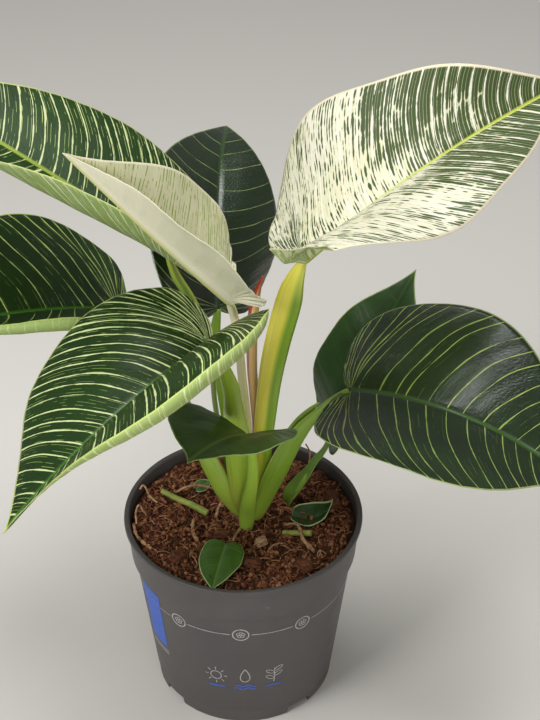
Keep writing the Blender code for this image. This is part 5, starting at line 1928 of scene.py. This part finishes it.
TUBES = (
    LyingTube("stub_left", "stub", ((-42, 17, 3.4), (-34.5, 13.5, 3), (-26, 10.5, 2.6), (-18.5, 6.5, 2.2)),
              (1.3, 1.9), CUT_GREEN, CUT_END, knots=0.03),
    LyingTube("stub_right", "stub", ((20, -8, 1.6), (27, -10, 1.8), (34, -12, 2)), (1.3, 1.6),
              CUT_GREEN, CUT_END, knots=0.03),
    LyingTube("small_leaf_stalk", "twig", ((-1.5, -4, 1), (-3.5, -9, 1.8), (-5, -14, 2.2)),
              (0.6, 0.6), ROOT_SKIN),
    LyingTube("twig_left", "twig", ((-34, 20.5, 1), (-30, 21, 4), (-23, 22, 5.4), (-16, 23.5, 2.5)),
              (0.6, 0.7), TWIG_SKIN),
    LyingTube("twig_front_left", "twig",
              ((-25, 0, 2.6), (-25.5, -6.5, 3), (-24.5, -11.5, 2.2), (-22.5, -15, 1)),
              (0.8, 0.9), TWIG_SKIN, knots=0.22),
    LyingTube("twig_by_stalk", "twig", ((-11, 14, 4), (-13, 9.5, 2.6), (-14, 5, 1)), (0.7, 0.8), ROOT_SKIN),
    LyingTube("twig_right", "twig", ((21, -1.5, 1.2), (27, -8, 5.6), (30, -17.5, 2.8), (35, -26, 1.2)),
              (0.7, 1.0), ROOT_SKIN, knots=0.2),
    LyingTube("twig_far_left", "twig",
              ((-54.5, -8.5, 3), (-53, -15.5, 2.2), (-49, -20.5, 1.4), (-45, -24.5, 1)),
              (0.7, 0.9), TWIG_SKIN, knots=0.25),
    LyingTube("root_curl", "twig",
              ((-53.5, -6, 1), (-54, -1, 4.4), (-52.5, 2.5, 6), (-50.5, 1.5, 3), (-49, 1, 0.6)),
              (0.5, 0.5), ROOT_SKIN, knots=0.05),
    LyingTube("root_curl_high", "twig",
              ((-53, 16, 5), (-51.5, 17.5, 6.5), (-50, 17, 5), (-48, 14, 2.4), (-44, 10.5, 1)),
              (0.5, 0.5), ROOT_SKIN, knots=0.05),
    LyingTube("root_back", "twig", ((33, 37, 0.6), (34, 40, 5), (34, 42, 9), (32, 43, 13)), (0.5, 0.4),
              ROOT_SKIN, knots=0.05),
)

CHUNKS = (
    Chunk("bark_1", "bark", (45, 12), (14, 8, 5), 100, BARK_SKIN),
    Chunk("bark_2", "bark", (-31, -30), (12, 7, 5), 60, BARK_SKIN),
    Chunk("bark_3", "bark", (5, -33), (11, 7, 4.5), -15, BARK_SKIN),
    Chunk("bark_4", "bark", (-14, 38), (14, 8, 5), 100, BARK_SKIN),
    Chunk("bark_5", "bark", (30, -37), (11, 6, 4.5), 130, BARK_SKIN),
    Chunk("bark_6", "bark", (-11, -9), (9, 6, 4), 15, BARK_SKIN),
    Chunk("bark_7", "bark", (29, 30), (12, 7, 5), 150, BARK_SKIN),
    Chunk("beige_chip", "twig", (9, -15), (7, 5, 5), 40, CHIP_SKIN),
)


@dataclass(frozen=True)
class Studio:
    """The pale floor, the soft lights and the camera."""

    target: tuple[float, float, float] = (13.4, 0.0, 197.3)
    distance: float = 800.0
    pitch: float = 35.8
    lens: float = 85.0
    sensor: float = 36.0
    floor_size: float = 4000.0

    def floor(self) -> None:
        """Lay a plain pale floor of painted board."""
        half = self.floor_size / 2
        corners = np.array([(-half, -half, 0), (half, -half, 0), (half, half, 0), (-half, half, 0)])
        mesh = new_mesh("floor", corners, [(0, 1, 2, 3)])
        material, shader = new_material("painted_board", 0.7, 0.2)
        fill_inputs(shader, {"Base Color": linear_colour("#DEDBD5")})
        mesh.materials.append(material)
        add_object("floor", mesh)

    def light(self, name: str, place: tuple[float, float, float], size: tuple[float, float],
              power: float) -> None:
        """Hang a soft box that faces the plant.

        Args:
            name: the light's name.
            place: its centre in millimetres.
            size: its width and height in millimetres.
            power: its power in watts.
        """
        lamp = bpy.data.lights.new(name, "AREA")
        lamp.shape = "RECTANGLE"
        lamp.size, lamp.size_y = size[0] * MM, size[1] * MM
        lamp.energy = power
        obj = add_object(name, lamp)
        obj.location = [c * MM for c in place]
        aim = np.array(self.target) - np.array(place)
        flat = math.hypot(aim[0], aim[1])
        obj.rotation_euler = (math.atan2(flat, -aim[2]), 0, math.atan2(-aim[0], aim[1]))

    def camera(self) -> None:
        """Stand the camera where the photograph was taken from."""
        data = bpy.data.cameras.new("camera")
        data.lens = self.lens
        data.sensor_width = self.sensor
        data.clip_start, data.clip_end = 0.05, 20
        obj = add_object("camera", data)
        pitch = math.radians(self.pitch)
        back = np.array([0, -math.cos(pitch), math.sin(pitch)]) * self.distance
        obj.location = (np.array(self.target) + back) * MM
        obj.rotation_euler = (math.radians(90 - self.pitch), 0, 0)
        bpy.context.scene.camera = obj

    def build(self) -> None:
        """Set up the whole studio."""
        self.floor()
        self.light("overhead", (40, 60, 1150), (600, 600), 7.0)
        self.light("key", (-650, -550, 900), (450, 450), 6.5)
        self.light("front", (250, -1100, 450), (800, 600), 3.0)
        world = bpy.data.worlds.new("studio")
        world.use_nodes = True
        sky = world.node_tree.nodes["Background"]
        sky.inputs[0].default_value = (0.92, 0.91, 0.89, 1.0)
        sky.inputs[1].default_value = 0.28
        bpy.context.scene.world = world
        bpy.context.scene.view_settings.view_transform = "Standard"
        self.camera()


def dress_stem() -> None:
    """Give the buried stem, whose CAD shape stays, its corky finish."""
    obj = bpy.data.objects["stem"]
    material = DryMatter("corky_stem", "#A47A4E", "#5A3A22", (300.0, 300.0, 700.0)).material()
    for slot in obj.material_slots:
        slot.material = material


def main() -> None:
    """Build every piece in its class and report it."""
    logging.basicConfig(level=logging.INFO, format="%(message)s")
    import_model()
    Studio().build()
    pot = NurseryPot()
    made = [pot.build(), *PotPrint(pot).build(), *Soil(pot).build()]
    for group in (LEAVES, STALKS, TUBES, CHUNKS):
        made += [item.build() for item in group]
    dress_stem()
    for obj in made:
        LOG.info("%s: %d faces", obj.name, len(obj.data.polygons))
    bpy.context.view_layer.update()


if __name__ == "__main__":
    main()
